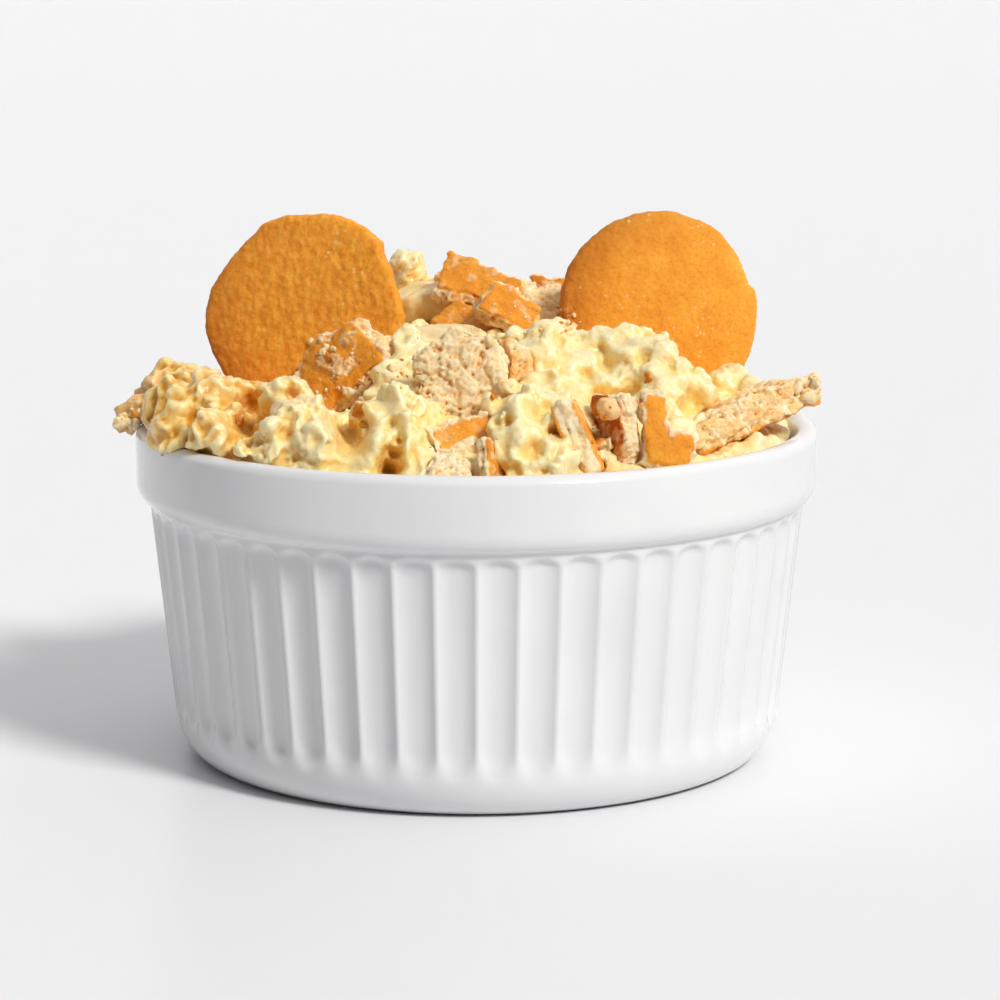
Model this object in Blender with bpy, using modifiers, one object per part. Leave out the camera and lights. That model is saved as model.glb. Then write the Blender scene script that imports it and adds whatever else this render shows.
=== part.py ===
"""Banana pudding in its white fluted ramekin.

The dish stands on the ground with the middle of its base at the origin.
The food is a heap of lumpy pudding, with two whole vanilla wafers standing
in it, broken wafers pushed into it and a few slices of banana.
The front of the heap, the side to look at, is towards -Y.
"""
import math
import random

import bmesh
import bpy
from mathutils import Matrix, Vector, noise

MM = 0.001
OBJECT_NAME = "banana_pudding_in_ramekin"

# Clearance between neighbouring pieces
GAP = 0.3 * MM

# The dish
RIM_RADIUS = 63.5 * MM
DISH_HEIGHT = 62.0 * MM
RIM_CREST_RADIUS = 61.4 * MM
RIM_INNER_RADIUS = 59.5 * MM
BAND_BOTTOM = 48.6 * MM
WALL_TOP_RADIUS = 61.0 * MM
WALL_BOTTOM_RADIUS = 57.0 * MM
WALL_BOTTOM = 9.6 * MM
BASE_RADIUS = 50.4 * MM
FLOOR_THICKNESS = 6.0 * MM
INSIDE_TOP_RADIUS = 57.6 * MM
INSIDE_BOTTOM_RADIUS = 52.6 * MM
INSIDE_CORNER = 7.0 * MM
FLUTES = 52
FLUTE_DEPTH = 1.1 * MM
FLUTE_TOP = 47.6 * MM
FLUTE_BOTTOM = 7.6 * MM
FLUTE_FADE = 5.0 * MM
DISH_STEPS = 2 * FLUTES

# The pudding's heap
HEAP_EDGE = 60.2 * MM
HEAP_RISE = 16.0 * MM
HEAP_RADIUS = 58.2 * MM
HEAP_SIDE_TOP = 52.0 * MM
HEAP_STEPS = 44
HEAP_RINGS = 10
RIPPLE = 1.5 * MM
RIPPLE_LENGTH = 9.0 * MM

# Lumps on the heap. The clearing, its middle and radius in millimetres, lies
# in front of the left wafer and gets none.
CURD_SEED = 95
CURD_COUNT = 23
CURD_SMALLEST = 2.6 * MM
CURD_LARGEST = 5.2 * MM
CURD_REACH = 54.0 * MM
CURD_CLEARING = (-38.0, -2.0, 9.0)
LUMP_ROUGHNESS = 0.30

# The wafers
WAFER_RADIUS = 19.4 * MM
WAFER_THICKNESS = 6.6 * MM
WAFER_STEPS = 28
PIECE_STEPS = 16
WAFER_WOBBLE = 0.022
BREAK_ROUGHNESS = 1.6 * MM
BREAK_LENGTH = 3.5 * MM

# The banana slices
BANANA_THICKNESS = 5.5 * MM
BANANA_STEPS = 16

# Colours, roughness last
GLAZE = (0.90, 0.90, 0.89, 0.12)
CUSTARD = (0.93, 0.78, 0.38, 0.35)
CRUST = (0.72, 0.36, 0.09, 0.75)
CRUST_DARK = (0.60, 0.26, 0.06, 0.75)
CRUMB = (0.86, 0.66, 0.36, 0.85)
BANANA = (0.90, 0.76, 0.47, 0.40)

# Mounds and pits of the heap: x, y, height and radius in millimetres
MOUNDS = (
    (30, -6, 6.5, 11),
    (13, -8, 5.5, 7),
    (-14, -13, 6.0, 6),
    (10, -42, 4.0, 9),
    (-12, -40, 4.0, 6),
    (-30, -40, 3.0, 7),
    (-48, -20, 7.0, 7),
    (-34, -25, 5.0, 5),
    (-39, 2, -7.0, 10),
    (-52, 6, 4.5, 9),
    (34, -26, 3.0, 6),
    (2, 14, 2.0, 12),
    (-36, 30, 3.0, 11),
    (-10, 42, 8.0, 9),
    (14, 41, 8.5, 9),
    (30, 44, 3.0, 8),
    (48, 26, 2.5, 9),
    (42, -36, -4.5, 7),
    (-15, -56, -7.0, 5),
    (-24, -18, -9.5, 10),
    (24, -49, -3.0, 5),
    (-1, -53, -3.0, 5),
    (-3, -42, -5.2, 7.0),
)

# Single lumps of pudding, on the rim and behind: x, y, z and radius in
# millimetres
LUMPS = (
    (-55.5, -15, 65.5, 6.5),
    (-58.0, -7, 63.5, 4.5),
    (-57.0, 6, 66.0, 6.0),
    (-60.0, 13, 65.0, 4.6),
    (-61.0, -2, 64.4, 3.6),
    (-64.4, -3, 63.2, 3.2),
    (-66.4, -5, 61.6, 2.3),
    (-52.0, -28, 64.0, 5.2),
    (-46.0, -36, 63.0, 4.6),
    (-38.0, -44, 63.2, 4.6),
    (-13.6, 43.5, 85.4, 4.2),
    (-12.6, 43.5, 80.2, 4.8),
    (-8.5, 43.5, 80.6, 3.6),
    (-11.5, 44.5, 76.0, 5.0),
    (46.0, 6, 65.9, 4.8),
    (52.6, 3, 65.3, 4.4),
)

# Whole wafers: middle in millimetres, radius, facing, side shown, seed.
# Facing is the way that the shown side looks: degrees round from the front
# towards +X, and degrees up.
WHOLE_WAFERS = (
    ("wafer_left", (-32.2, 17.5, 79.6), 19.9, (-13, 8), "base", 3),
    ("wafer_right", (35.2, 20.5, 79.9), 19.4, (5, 10), "crust", 8),
)

# Broken wafers: middle in millimetres, thickness, facing, spin, side shown,
# seed, and the breaks. A break is an angle round the shown side and a
# distance from the wafer's middle in millimetres.
BROKEN_WAFERS = (
    ("broken_wafer_curled", (-25.4, -10.5, 71.0), 5.5, (-28, 12), 0, "crust", 11,
     ((-42, -6.0), (50, 11.0), (230, 11.4))),
    ("broken_wafer_centre", (-2.8, -31.2, 71.6), 6.0, (-8, 14), 0, "base", 12,
     ((8, 7.4), (70, 8.4), (128, 7.8), (205, 7.8), (275, 13.4))),
    ("broken_wafer_under_centre", (-2.0, -41.4, 65.3), 4.0, (4, 50), 18, "crust", 13,
     ((0, 6.2), (94, 3.0), (184, 6.0), (270, 3.2))),
    ("broken_wafer_beside_centre", (7.2, -22.5, 75.2), 4.0, (20, 14), 0, "base", 14,
     ((0, 2.4), (80, 4.0), (180, 2.4), (265, 4.0))),
    ("broken_wafer_stack_top", (1.0, 22.4, 84.8), 4.6, (-4, 54), -14, "crust", 15,
     ((-20, 7.8), (72, 4.6), (185, 7.4), (262, 4.4))),
    ("broken_wafer_stack_right", (6.2, 5.6, 81.6), 4.6, (20, 34), -34, "crust", 16,
     ((0, 6.2), (90, 3.2), (180, 5.0), (272, 3.6))),
    ("broken_wafer_stack_low", (-1.4, 11.0, 77.6), 3.6, (-20, 66), -24, "base", 17,
     ((0, 7.0), (95, 4.4), (180, 7.0), (265, 4.4))),
    ("broken_wafer_back_slab", (12.8, 36.4, 79.7), 4.2, (0, 72), 0, "base", 18,
     ((5, 8.0), (90, 5.4), (178, 6.4), (268, 4.6))),
    ("broken_wafer_back_thin", (16.0, 46.0, 77.9), 3.6, (0, 20), 0, "crust", 26,
     ((0, 5.0), (90, 4.6), (180, 4.6), (270, 6.0))),
    ("broken_wafer_back_upright", (13.8, 27.4, 73.6), 4.4, (4, 6), 0, "base", 19,
     ((0, 4.2), (88, 3.0), (180, 4.0), (270, 5.4))),
    ("broken_wafer_front_slab", (17.6, -46.2, 66.2), 4.6, (88, 25), 0, "crust", 20,
     ((0, 5.0), (85, 6.4), (180, 5.2), (272, 6.6))),
    ("broken_wafer_front_upright", (24.1, -41.2, 66.8), 4.0, (120, 2), 0, "crust", 21,
     ((0, 5.0), (90, 5.6), (180, 5.0), (270, 5.6))),
    ("broken_wafer_front_face", (33.0, -44.8, 67.0), 3.6, (10, 14), 0, "crust", 22,
     ((0, 4.4), (86, 6.2), (182, 4.2), (268, 6.2))),
    ("broken_wafer_long", (47.6, -18.5, 65.9), 6.4, (-95, 73), 45, "crust", 23,
     ((0, 4.0), (90, 16.4), (180, 7.0), (270, 16.4))),
    ("broken_wafer_front_low", (-4.6, -53.4, 60.6), 4.0, (-4, 62), 0, "base", 24,
     ((0, 3.2), (90, 3.2), (180, 3.6), (270, 3.4))),
    ("broken_wafer_front_edge", (2.6, -52.4, 61.8), 3.0, (62, 16), -14, "crust", 25,
     ((0, 3.0), (88, 4.6), (180, 2.8), (272, 4.6))),
)

# Notch that leaves a broken wafer bent like an L: the piece, and the notch's
# inner corner in millimetres right of and above the piece's middle
NOTCHES = {"broken_wafer_front_face": (-0.6, -1.0)}
NOTCH_REACH = 12.0 * MM

# Banana slices: middle and radius in millimetres, facing, seed
BANANA_SLICES = (
    ("banana_slice_back", (-9.6, 33.0, 80.6), 8.0, (-70, 74), 31),
    ("banana_slice_middle", (-6.2, -3.4, 76.4), 9.0, (0, 86), 32),
    ("banana_slice_right", (35.2, -37.6, 64.6), 3.7, (16, 24), 33),
)

# Crumbs big enough to be pieces: middle, radius, seed
CRUMBS = (
    ("wafer_crumb_front", (22.7, -47.2, 71.2), 1.9, 41),
)


def clear_scene():
    """Remove every object that the file opens with."""
    for obj in list(bpy.data.objects):
        bpy.data.objects.remove(obj, do_unlink=True)


def new_collection(name, hidden=False):
    collection = bpy.data.collections.new(name)
    bpy.context.scene.collection.children.link(collection)
    collection.hide_render = hidden
    return collection


def finish(name, look, metallic=0.0):
    """Principled material of one colour, with its roughness last."""
    material = bpy.data.materials.new(name)
    material.use_nodes = True
    shader = material.node_tree.nodes["Principled BSDF"]
    shader.inputs["Base Color"].default_value = (*look[:3], 1.0)
    shader.inputs["Roughness"].default_value = look[3]
    shader.inputs["Metallic"].default_value = metallic
    return material


def add_object(name, mesh, collection, material=None):
    obj = bpy.data.objects.new(name, mesh)
    collection.objects.link(obj)
    mesh.materials.clear()
    if material is not None:
        mesh.materials.append(material)
    return obj


def evaluated_mesh(obj):
    """Mesh of an object with its modifiers carried out."""
    bpy.context.view_layer.update()
    depsgraph = bpy.context.evaluated_depsgraph_get()
    mesh = bpy.data.meshes.new_from_object(obj.evaluated_get(depsgraph))
    mesh.transform(obj.matrix_world)
    return mesh


def smooth(mesh, angle=35.0):
    mesh.shade_smooth()
    mesh.set_sharp_from_angle(angle=math.radians(angle))


def triangulate(mesh):
    work = bmesh.new()
    work.from_mesh(mesh)
    bmesh.ops.triangulate(work, faces=work.faces[:])
    work.to_mesh(mesh)
    work.free()


def turned_mesh(name, profile, steps):
    """Mesh that a profile of (radius, height) points makes when turned."""
    line = bpy.data.meshes.new(name + "_profile")
    points = [(radius, 0.0, height) for radius, height in profile]
    edges = [(i, i + 1) for i in range(len(points) - 1)]
    line.from_pydata(points, edges, [])
    guide = bpy.data.objects.new(name + "_guide", line)
    bpy.context.scene.collection.objects.link(guide)
    screw = guide.modifiers.new("Turn", "SCREW")
    screw.steps = steps
    screw.render_steps = steps
    screw.use_merge_vertices = True
    screw.merge_threshold = 0.05 * MM
    turned = evaluated_mesh(guide)
    turned.name = name
    bpy.data.objects.remove(guide, do_unlink=True)
    bpy.data.meshes.remove(line)
    return turned


def arc(centre, radii, start, end, count):
    """Points along an ellipse's arc from one angle to another, in degrees."""
    points = []
    for i in range(count + 1):
        angle = math.radians(start + (end - start) * i / count)
        points.append((centre[0] + radii[0] * math.cos(angle),
                       centre[1] + radii[1] * math.sin(angle)))
    return points


def inside_profile(clearance):
    """Inside of the dish from its middle to the band, moved in by a clearance."""
    floor = FLOOR_THICKNESS + clearance
    bottom = INSIDE_BOTTOM_RADIUS - clearance
    corner = (bottom - INSIDE_CORNER, floor + INSIDE_CORNER)
    profile = [(0.0, floor)]
    profile += arc(corner, (INSIDE_CORNER, INSIDE_CORNER), -90, 0, 2)
    profile.append((INSIDE_TOP_RADIUS - clearance, BAND_BOTTOM))
    return profile


def rim_profile(clearance):
    """Rim from its inside over the crest to the band, moved out by a clearance."""
    rim_out = RIM_RADIUS - RIM_CREST_RADIUS + clearance
    rim_in = RIM_CREST_RADIUS - RIM_INNER_RADIUS + clearance
    crest = DISH_HEIGHT - rim_out + clearance
    profile = arc((RIM_CREST_RADIUS, crest), (rim_in, rim_out), 180, 90, 2)
    profile += arc((RIM_CREST_RADIUS, crest), (rim_out, rim_out), 90, 0, 3)[1:]
    return profile


def dish_profile():
    """Closed section of the dish, from its floor over the rim to its base."""
    profile = inside_profile(0.0) + rim_profile(0.0)
    band_corner = (WALL_TOP_RADIUS, BAND_BOTTOM + 3.6 * MM)
    band_round = (RIM_RADIUS - WALL_TOP_RADIUS, 3.6 * MM)
    profile += arc(band_corner, band_round, 0, -70, 2)
    profile.append((WALL_TOP_RADIUS, FLUTE_TOP))
    for share in (0.04, 0.87, 0.95):
        radius = WALL_TOP_RADIUS + (WALL_BOTTOM_RADIUS - WALL_TOP_RADIUS) * share
        height = FLUTE_TOP + (WALL_BOTTOM - FLUTE_TOP) * share
        profile.append((radius, height))
    foot = (WALL_BOTTOM_RADIUS - BASE_RADIUS, WALL_BOTTOM)
    profile += arc((BASE_RADIUS, WALL_BOTTOM), foot, 0, -90, 3)
    profile.append((0.0, 0.0))
    return profile


def flute_depth(angle, height):
    """How far the wall is pushed in at an angle and a height."""
    rise = (height - FLUTE_BOTTOM) / FLUTE_FADE
    fall = (FLUTE_TOP - height) / (0.25 * FLUTE_FADE)
    fade = max(0.0, min(1.0, rise, fall))
    scallop = 0.5 - 0.5 * math.cos(FLUTES * angle)
    return FLUTE_DEPTH * fade * scallop


def make_ramekin(collection):
    """Turned dish whose outer wall is pushed in to make the flutes."""
    mesh = turned_mesh("ramekin", dish_profile(), DISH_STEPS)
    for vertex in mesh.vertices:
        x, y, z = vertex.co
        radius = math.hypot(x, y)
        wall = WALL_BOTTOM_RADIUS + (z - WALL_BOTTOM) / 9.5
        if abs(radius - wall) > 1.5 * MM or z > FLUTE_TOP:
            continue
        pushed = (radius - flute_depth(math.atan2(y, x), z)) / radius
        vertex.co.x = x * pushed
        vertex.co.y = y * pushed
    smooth(mesh)
    return add_object("ramekin", mesh, collection, finish("glaze", GLAZE))


def towards(facing):
    """Unit vector for degrees round from the front and degrees up."""
    around = math.radians(facing[0])
    up = math.radians(facing[1])
    return Vector((math.sin(around) * math.cos(up),
                   -math.cos(around) * math.cos(up), math.sin(up)))


def placing(centre, facing, spin=0.0, shown="crust"):
    """Matrix that sets a flat piece at its place, its shown side facing out."""
    out = towards(facing)
    side = Vector((-out.y, out.x, 0.0)).normalized()
    if shown == "base":
        out = -out
        side = -side
        spin = -spin
    up = out.cross(side)
    turn = Matrix((side, up, out)).transposed().to_4x4()
    move = Matrix.Translation(Vector(centre) * MM)
    return move @ turn @ Matrix.Rotation(math.radians(spin), 4, "Z")


def wafer_profile(radius, thickness, rounding):
    """Section of a wafer: domed crust, rounded edge and flat base."""
    low = -0.5 * thickness
    edge_height = 0.56 * thickness
    shoulder = 0.965 * radius
    dome = []
    for share in (0.0, 0.5, 0.82):
        rise = (thickness - edge_height) * (1.0 - share ** 2.6)
        dome.append((shoulder * share, low + edge_height + rise))
    edge = arc((0.95 * radius, low + 0.5 * edge_height),
               (0.05 * radius, 0.5 * edge_height), 70, -90, rounding)
    return dome + edge + [(0.5 * radius, low), (0.0, low)]


def wafer_mesh(name, radius, thickness, steps, rounding, seed):
    """Whole wafer whose outline is slightly out of round."""
    mesh = turned_mesh(name, wafer_profile(radius, thickness, rounding), steps)
    for vertex in mesh.vertices:
        angle = math.atan2(vertex.co.y, vertex.co.x)
        around = Vector((math.cos(angle), math.sin(angle), 0.37 * seed))
        grow = 1.0 + WAFER_WOBBLE * noise.noise(1.6 * around)
        vertex.co.x *= grow
        vertex.co.y *= grow
    return mesh


def make_whole_wafers(collection):
    for name, centre, radius, facing, shown, seed in WHOLE_WAFERS:
        mesh = wafer_mesh(name, radius * MM, WAFER_THICKNESS, WAFER_STEPS, 3, seed)
        mesh.transform(placing(centre, facing, 0.0, shown))
        smooth(mesh)
        look = CRUST if shown == "crust" else CRUST_DARK
        add_object(name, mesh, collection, finish(name + "_look", look))


def break_off(work, angle, distance, seed):
    """Cut a wafer along a line and roughen the broken side."""
    out = Vector((math.cos(math.radians(angle)), math.sin(math.radians(angle)), 0.0))
    everything = work.verts[:] + work.edges[:] + work.faces[:]
    cut = bmesh.ops.bisect_plane(work, geom=everything, dist=1e-7,
                                 plane_co=out * distance, plane_no=out, clear_outer=True)
    edges = [item for item in cut["geom_cut"] if isinstance(item, bmesh.types.BMEdge)]
    if not edges:
        return
    corners = {vertex for edge in edges for vertex in edge.verts}
    filled = bmesh.ops.contextual_create(work, geom=edges)["faces"]
    poked = bmesh.ops.poke(work, faces=filled)["verts"]
    shift = Vector((0.0, 0.0, seed * 1.3))
    for vertex in corners:
        ragged = noise.noise(vertex.co / BREAK_LENGTH + shift)
        vertex.co += out * BREAK_ROUGHNESS * (ragged - 0.3)
    for vertex in poked:
        vertex.co += out * 0.5 * BREAK_ROUGHNESS


def centre_on_box(work):
    """Move a piece so that the middle of its box is at the origin."""
    low = [min(vertex.co[axis] for vertex in work.verts) for axis in range(3)]
    high = [max(vertex.co[axis] for vertex in work.verts) for axis in range(3)]
    middle = (Vector(low) + Vector(high)) / 2.0
    for vertex in work.verts:
        vertex.co -= middle


def cut_notch(obj, corner, cutters):
    """Take away what lies right of and above a corner, seen from local +Z."""
    work = bmesh.new()
    bmesh.ops.create_cube(work, size=NOTCH_REACH)
    for vertex in work.verts:
        vertex.co.x += 0.5 * NOTCH_REACH + corner[0] * MM
        vertex.co.y += 0.5 * NOTCH_REACH + corner[1] * MM
    mesh = bpy.data.meshes.new("notch")
    work.to_mesh(mesh)
    work.free()
    add_object("notch", mesh, cutters)
    carry_out(obj, "DIFFERENCE", cutters)


def make_broken_wafers(collection, cutters):
    for name, centre, thickness, facing, spin, shown, seed, breaks in BROKEN_WAFERS:
        mesh = wafer_mesh(name, WAFER_RADIUS, thickness * MM, PIECE_STEPS, 2, seed)
        work = bmesh.new()
        work.from_mesh(mesh)
        for angle, distance in breaks:
            seen = angle if shown == "crust" else 180.0 - angle
            break_off(work, seen, distance * MM, seed)
        centre_on_box(work)
        bmesh.ops.triangulate(work, faces=work.faces[:])
        work.to_mesh(mesh)
        work.free()
        look = CRUST if shown == "crust" else CRUMB
        piece = add_object(name, mesh, collection, finish(name + "_look", look))
        if name in NOTCHES:
            cut_notch(piece, NOTCHES[name], cutters)
        piece.data.transform(placing(centre, facing, spin, shown))
        smooth(piece.data)


def make_banana_slices(collection):
    """Round slices with softened edges, slightly out of round."""
    half = 0.5 * BANANA_THICKNESS
    for name, centre, radius, facing, seed in BANANA_SLICES:
        radius *= MM
        profile = [(0.0, half)]
        profile += arc((0.86 * radius, 0.0), (0.14 * radius, half), 80, -80, 3)
        profile.append((0.0, -half))
        mesh = turned_mesh(name, profile, BANANA_STEPS)
        for vertex in mesh.vertices:
            swell = noise.noise(Vector((vertex.co.x, vertex.co.y, seed * MM)) / (9.0 * MM))
            vertex.co *= 1.0 + 0.06 * swell
        mesh.transform(placing(centre, facing))
        smooth(mesh)
        add_object(name, mesh, collection, finish(name + "_look", BANANA))


def lump_mesh(name, centre, radius, seed, rounds=1):
    """Uneven ball of pudding or crumb."""
    mesh = bpy.data.meshes.new(name)
    work = bmesh.new()
    bmesh.ops.create_icosphere(work, subdivisions=rounds, radius=1.0)
    for vertex in work.verts:
        swell = noise.noise(vertex.co * 1.3 + Vector((seed * 1.7, seed * 0.9, seed * 0.4)))
        vertex.co = centre + vertex.co * radius * (1.0 + LUMP_ROUGHNESS * swell)
    work.to_mesh(mesh)
    work.free()
    return mesh


def make_crumbs(collection):
    for name, centre, radius, seed in CRUMBS:
        mesh = lump_mesh(name, Vector(centre) * MM, radius * MM, seed)
        smooth(mesh)
        add_object(name, mesh, collection, finish(name + "_look", CRUMB))


def heap_height(x, y):
    """Height of the pudding's surface above the ground at a place."""
    distance = math.hypot(x, y) / HEAP_RADIUS
    height = HEAP_EDGE + HEAP_RISE * (1.0 - distance ** 2)
    for place_x, place_y, rise, radius in MOUNDS:
        away = math.hypot(x / MM - place_x, y / MM - place_y) / radius
        height += rise * MM * math.exp(-away ** 3)
    ripple = noise.noise(Vector((x, y, 0.0)) / RIPPLE_LENGTH)
    return height + RIPPLE * ripple


def heap_core_mesh():
    """Turned plug that fills the dish, with its top raised to the heap."""
    top = HEAP_EDGE
    side = inside_profile(GAP) + [(INSIDE_TOP_RADIUS, HEAP_SIDE_TOP)]
    rings = [HEAP_RADIUS * (1.0 - i / HEAP_RINGS) for i in range(HEAP_RINGS)]
    surface = [(radius, top) for radius in rings] + [(0.0, top)]
    outline = surface[::-1] + side[::-1]
    mesh = turned_mesh("heap_core", outline, HEAP_STEPS)
    for vertex in mesh.vertices:
        if vertex.co.z > top - 0.5 * MM:
            vertex.co.z = heap_height(vertex.co.x, vertex.co.y)
    triangulate(mesh)
    return mesh


def add_lumps(collection):
    """Curds spread over the heap, and the single lumps."""
    chance = random.Random(CURD_SEED)
    for number in range(CURD_COUNT):
        reach = CURD_REACH * math.sqrt(chance.uniform(0.02, 1.0))
        angle = chance.uniform(0.0, 2.0 * math.pi)
        radius = chance.uniform(CURD_SMALLEST, CURD_LARGEST)
        x = reach * math.cos(angle)
        y = reach * math.sin(angle)
        if math.hypot(x / MM - CURD_CLEARING[0], y / MM - CURD_CLEARING[1]) < CURD_CLEARING[2]:
            continue
        centre = Vector((x, y, heap_height(x, y) - 0.25 * radius))
        name = f"curd_{number}"
        add_object(name, lump_mesh(name, centre, radius, number), collection)
    for number, (x, y, z, radius) in enumerate(LUMPS):
        name = f"lump_{number}"
        centre = Vector((x, y, z)) * MM
        mesh = lump_mesh(name, centre, radius * MM, 60 + number)
        add_object(name, mesh, collection)


def pocket_mesh(obj):
    """Hull of a piece, grown by the clearance."""
    work = bmesh.new()
    work.from_mesh(obj.data)
    hull = bmesh.ops.convex_hull(work, input=work.verts[:])
    spare = hull["geom_interior"] + hull["geom_unused"] + hull["geom_holes"]
    loose = {item for item in spare if isinstance(item, bmesh.types.BMVert)}
    bmesh.ops.delete(work, geom=list(loose), context="VERTS")
    bmesh.ops.delete(work, geom=[f for f in work.faces if f not in set(hull["geom"])],
                     context="FACES_ONLY")
    bmesh.ops.dissolve_limit(work, angle_limit=math.radians(6.0), verts=work.verts[:],
                             edges=work.edges[:])
    bmesh.ops.triangulate(work, faces=work.faces[:])
    bmesh.ops.recalc_face_normals(work, faces=work.faces[:])
    work.normal_update()
    moves = [(vertex, vertex.normal * 1.5 * GAP) for vertex in work.verts]
    for vertex, move in moves:
        vertex.co += move
    mesh = bpy.data.meshes.new(obj.name + "_pocket")
    work.to_mesh(mesh)
    work.free()
    return mesh


def rim_guard_mesh():
    """Ring a little larger than the rim, which the spilt lumps rest on."""
    clearance = 1.6 * GAP
    profile = rim_profile(clearance)
    low = BAND_BOTTOM
    profile.append((RIM_RADIUS + clearance, low))
    profile.append((HEAP_RADIUS + 1.3 * MM, low))
    profile.append(profile[0])
    return turned_mesh("rim_guard", profile, DISH_STEPS // 2)


def carry_out(obj, operation, operands, solver="EXACT"):
    """Boolean with every object of a collection, carried out at once."""
    change = obj.modifiers.new(operation.title(), "BOOLEAN")
    change.operation = operation
    change.operand_type = "COLLECTION"
    change.collection = operands
    change.solver = solver
    mesh = evaluated_mesh(obj)
    obj.modifiers.clear()
    old = obj.data
    obj.data = mesh
    bpy.data.meshes.remove(old)
    for spare in list(operands.objects):
        bpy.data.objects.remove(spare, do_unlink=True)


def keep_largest_body(mesh):
    """Drop the scraps that a cut leaves loose."""
    work = bmesh.new()
    work.from_mesh(mesh)
    bodies = []
    left = set(work.verts)
    while left:
        stack = [left.pop()]
        body = set(stack)
        while stack:
            vertex = stack.pop()
            for edge in vertex.link_edges:
                other = edge.other_vert(vertex)
                if other in left:
                    left.discard(other)
                    body.add(other)
                    stack.append(other)
        bodies.append(body)
    bodies.sort(key=len)
    scraps = [vertex for body in bodies[:-1] for vertex in body]
    bmesh.ops.delete(work, geom=scraps, context="VERTS")
    bmesh.ops.triangulate(work, faces=work.faces[:])
    work.to_mesh(mesh)
    work.free()


def make_pudding(collection, cutters):
    """Heap with its lumps, cut clear of the rim and of the pieces in it."""
    pieces = [obj for obj in collection.objects if obj.name != "ramekin"]
    pudding = add_object("pudding", heap_core_mesh(), collection, finish("custard", CUSTARD))
    add_lumps(cutters)
    carry_out(pudding, "UNION", cutters)
    add_object("rim_guard", rim_guard_mesh(), cutters)
    for piece in pieces:
        add_object(piece.name + "_pocket", pocket_mesh(piece), cutters)
    carry_out(pudding, "DIFFERENCE", cutters)
    keep_largest_body(pudding.data)
    smooth(pudding.data)
    return pudding


def main():
    clear_scene()
    parts = new_collection(OBJECT_NAME)
    cutters = new_collection("cutters", hidden=True)
    make_ramekin(parts)
    make_whole_wafers(parts)
    make_broken_wafers(parts, cutters)
    make_banana_slices(parts)
    make_crumbs(parts)
    make_pudding(parts, cutters)


if __name__ == "__main__":
    main()
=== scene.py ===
"""Looks of the banana pudding in its ramekin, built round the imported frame.

The pieces are rebuilt from the frame's own solids as fine meshes, in
millimetres, and set in metres. Everything random is seeded.
"""

import math
import random

import bmesh
import bpy
import numpy as np
from mathutils import Matrix, Vector, noise
from mathutils.bvhtree import BVHTree
from mathutils.kdtree import KDTree


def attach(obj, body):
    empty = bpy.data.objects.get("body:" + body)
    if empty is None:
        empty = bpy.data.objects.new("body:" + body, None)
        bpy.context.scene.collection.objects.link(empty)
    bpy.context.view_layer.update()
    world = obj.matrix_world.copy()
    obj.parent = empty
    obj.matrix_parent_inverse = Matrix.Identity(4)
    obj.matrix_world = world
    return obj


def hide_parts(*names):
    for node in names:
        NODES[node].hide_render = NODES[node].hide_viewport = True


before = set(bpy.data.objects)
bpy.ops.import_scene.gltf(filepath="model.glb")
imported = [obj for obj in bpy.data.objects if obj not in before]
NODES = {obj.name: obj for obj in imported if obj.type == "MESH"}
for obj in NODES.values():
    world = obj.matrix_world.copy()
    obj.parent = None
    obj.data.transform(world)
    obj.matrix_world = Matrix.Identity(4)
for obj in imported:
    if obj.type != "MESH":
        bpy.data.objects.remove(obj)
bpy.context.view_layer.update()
MM = 0.001

# The dish, in millimetres
RIM_RADIUS = 63.5
DISH_HEIGHT = 62.0
CREST_RADIUS = 61.4
RIM_INNER = 59.5
BAND_BOTTOM = 48.6
WALL_TOP_RADIUS = 61.0
WALL_BOTTOM_RADIUS = 57.0
WALL_BOTTOM = 9.6
BASE_RADIUS = 50.4
FLOOR_THICKNESS = 6.0
INSIDE_TOP_RADIUS = 57.6
INSIDE_BOTTOM_RADIUS = 52.6
INSIDE_CORNER = 7.0
FLUTES = 52
FLUTE_DEPTH = 1.15
FLUTE_TOP = 47.8
FLUTE_BOTTOM = 6.6
STEPS_A_FLUTE = 14

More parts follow.
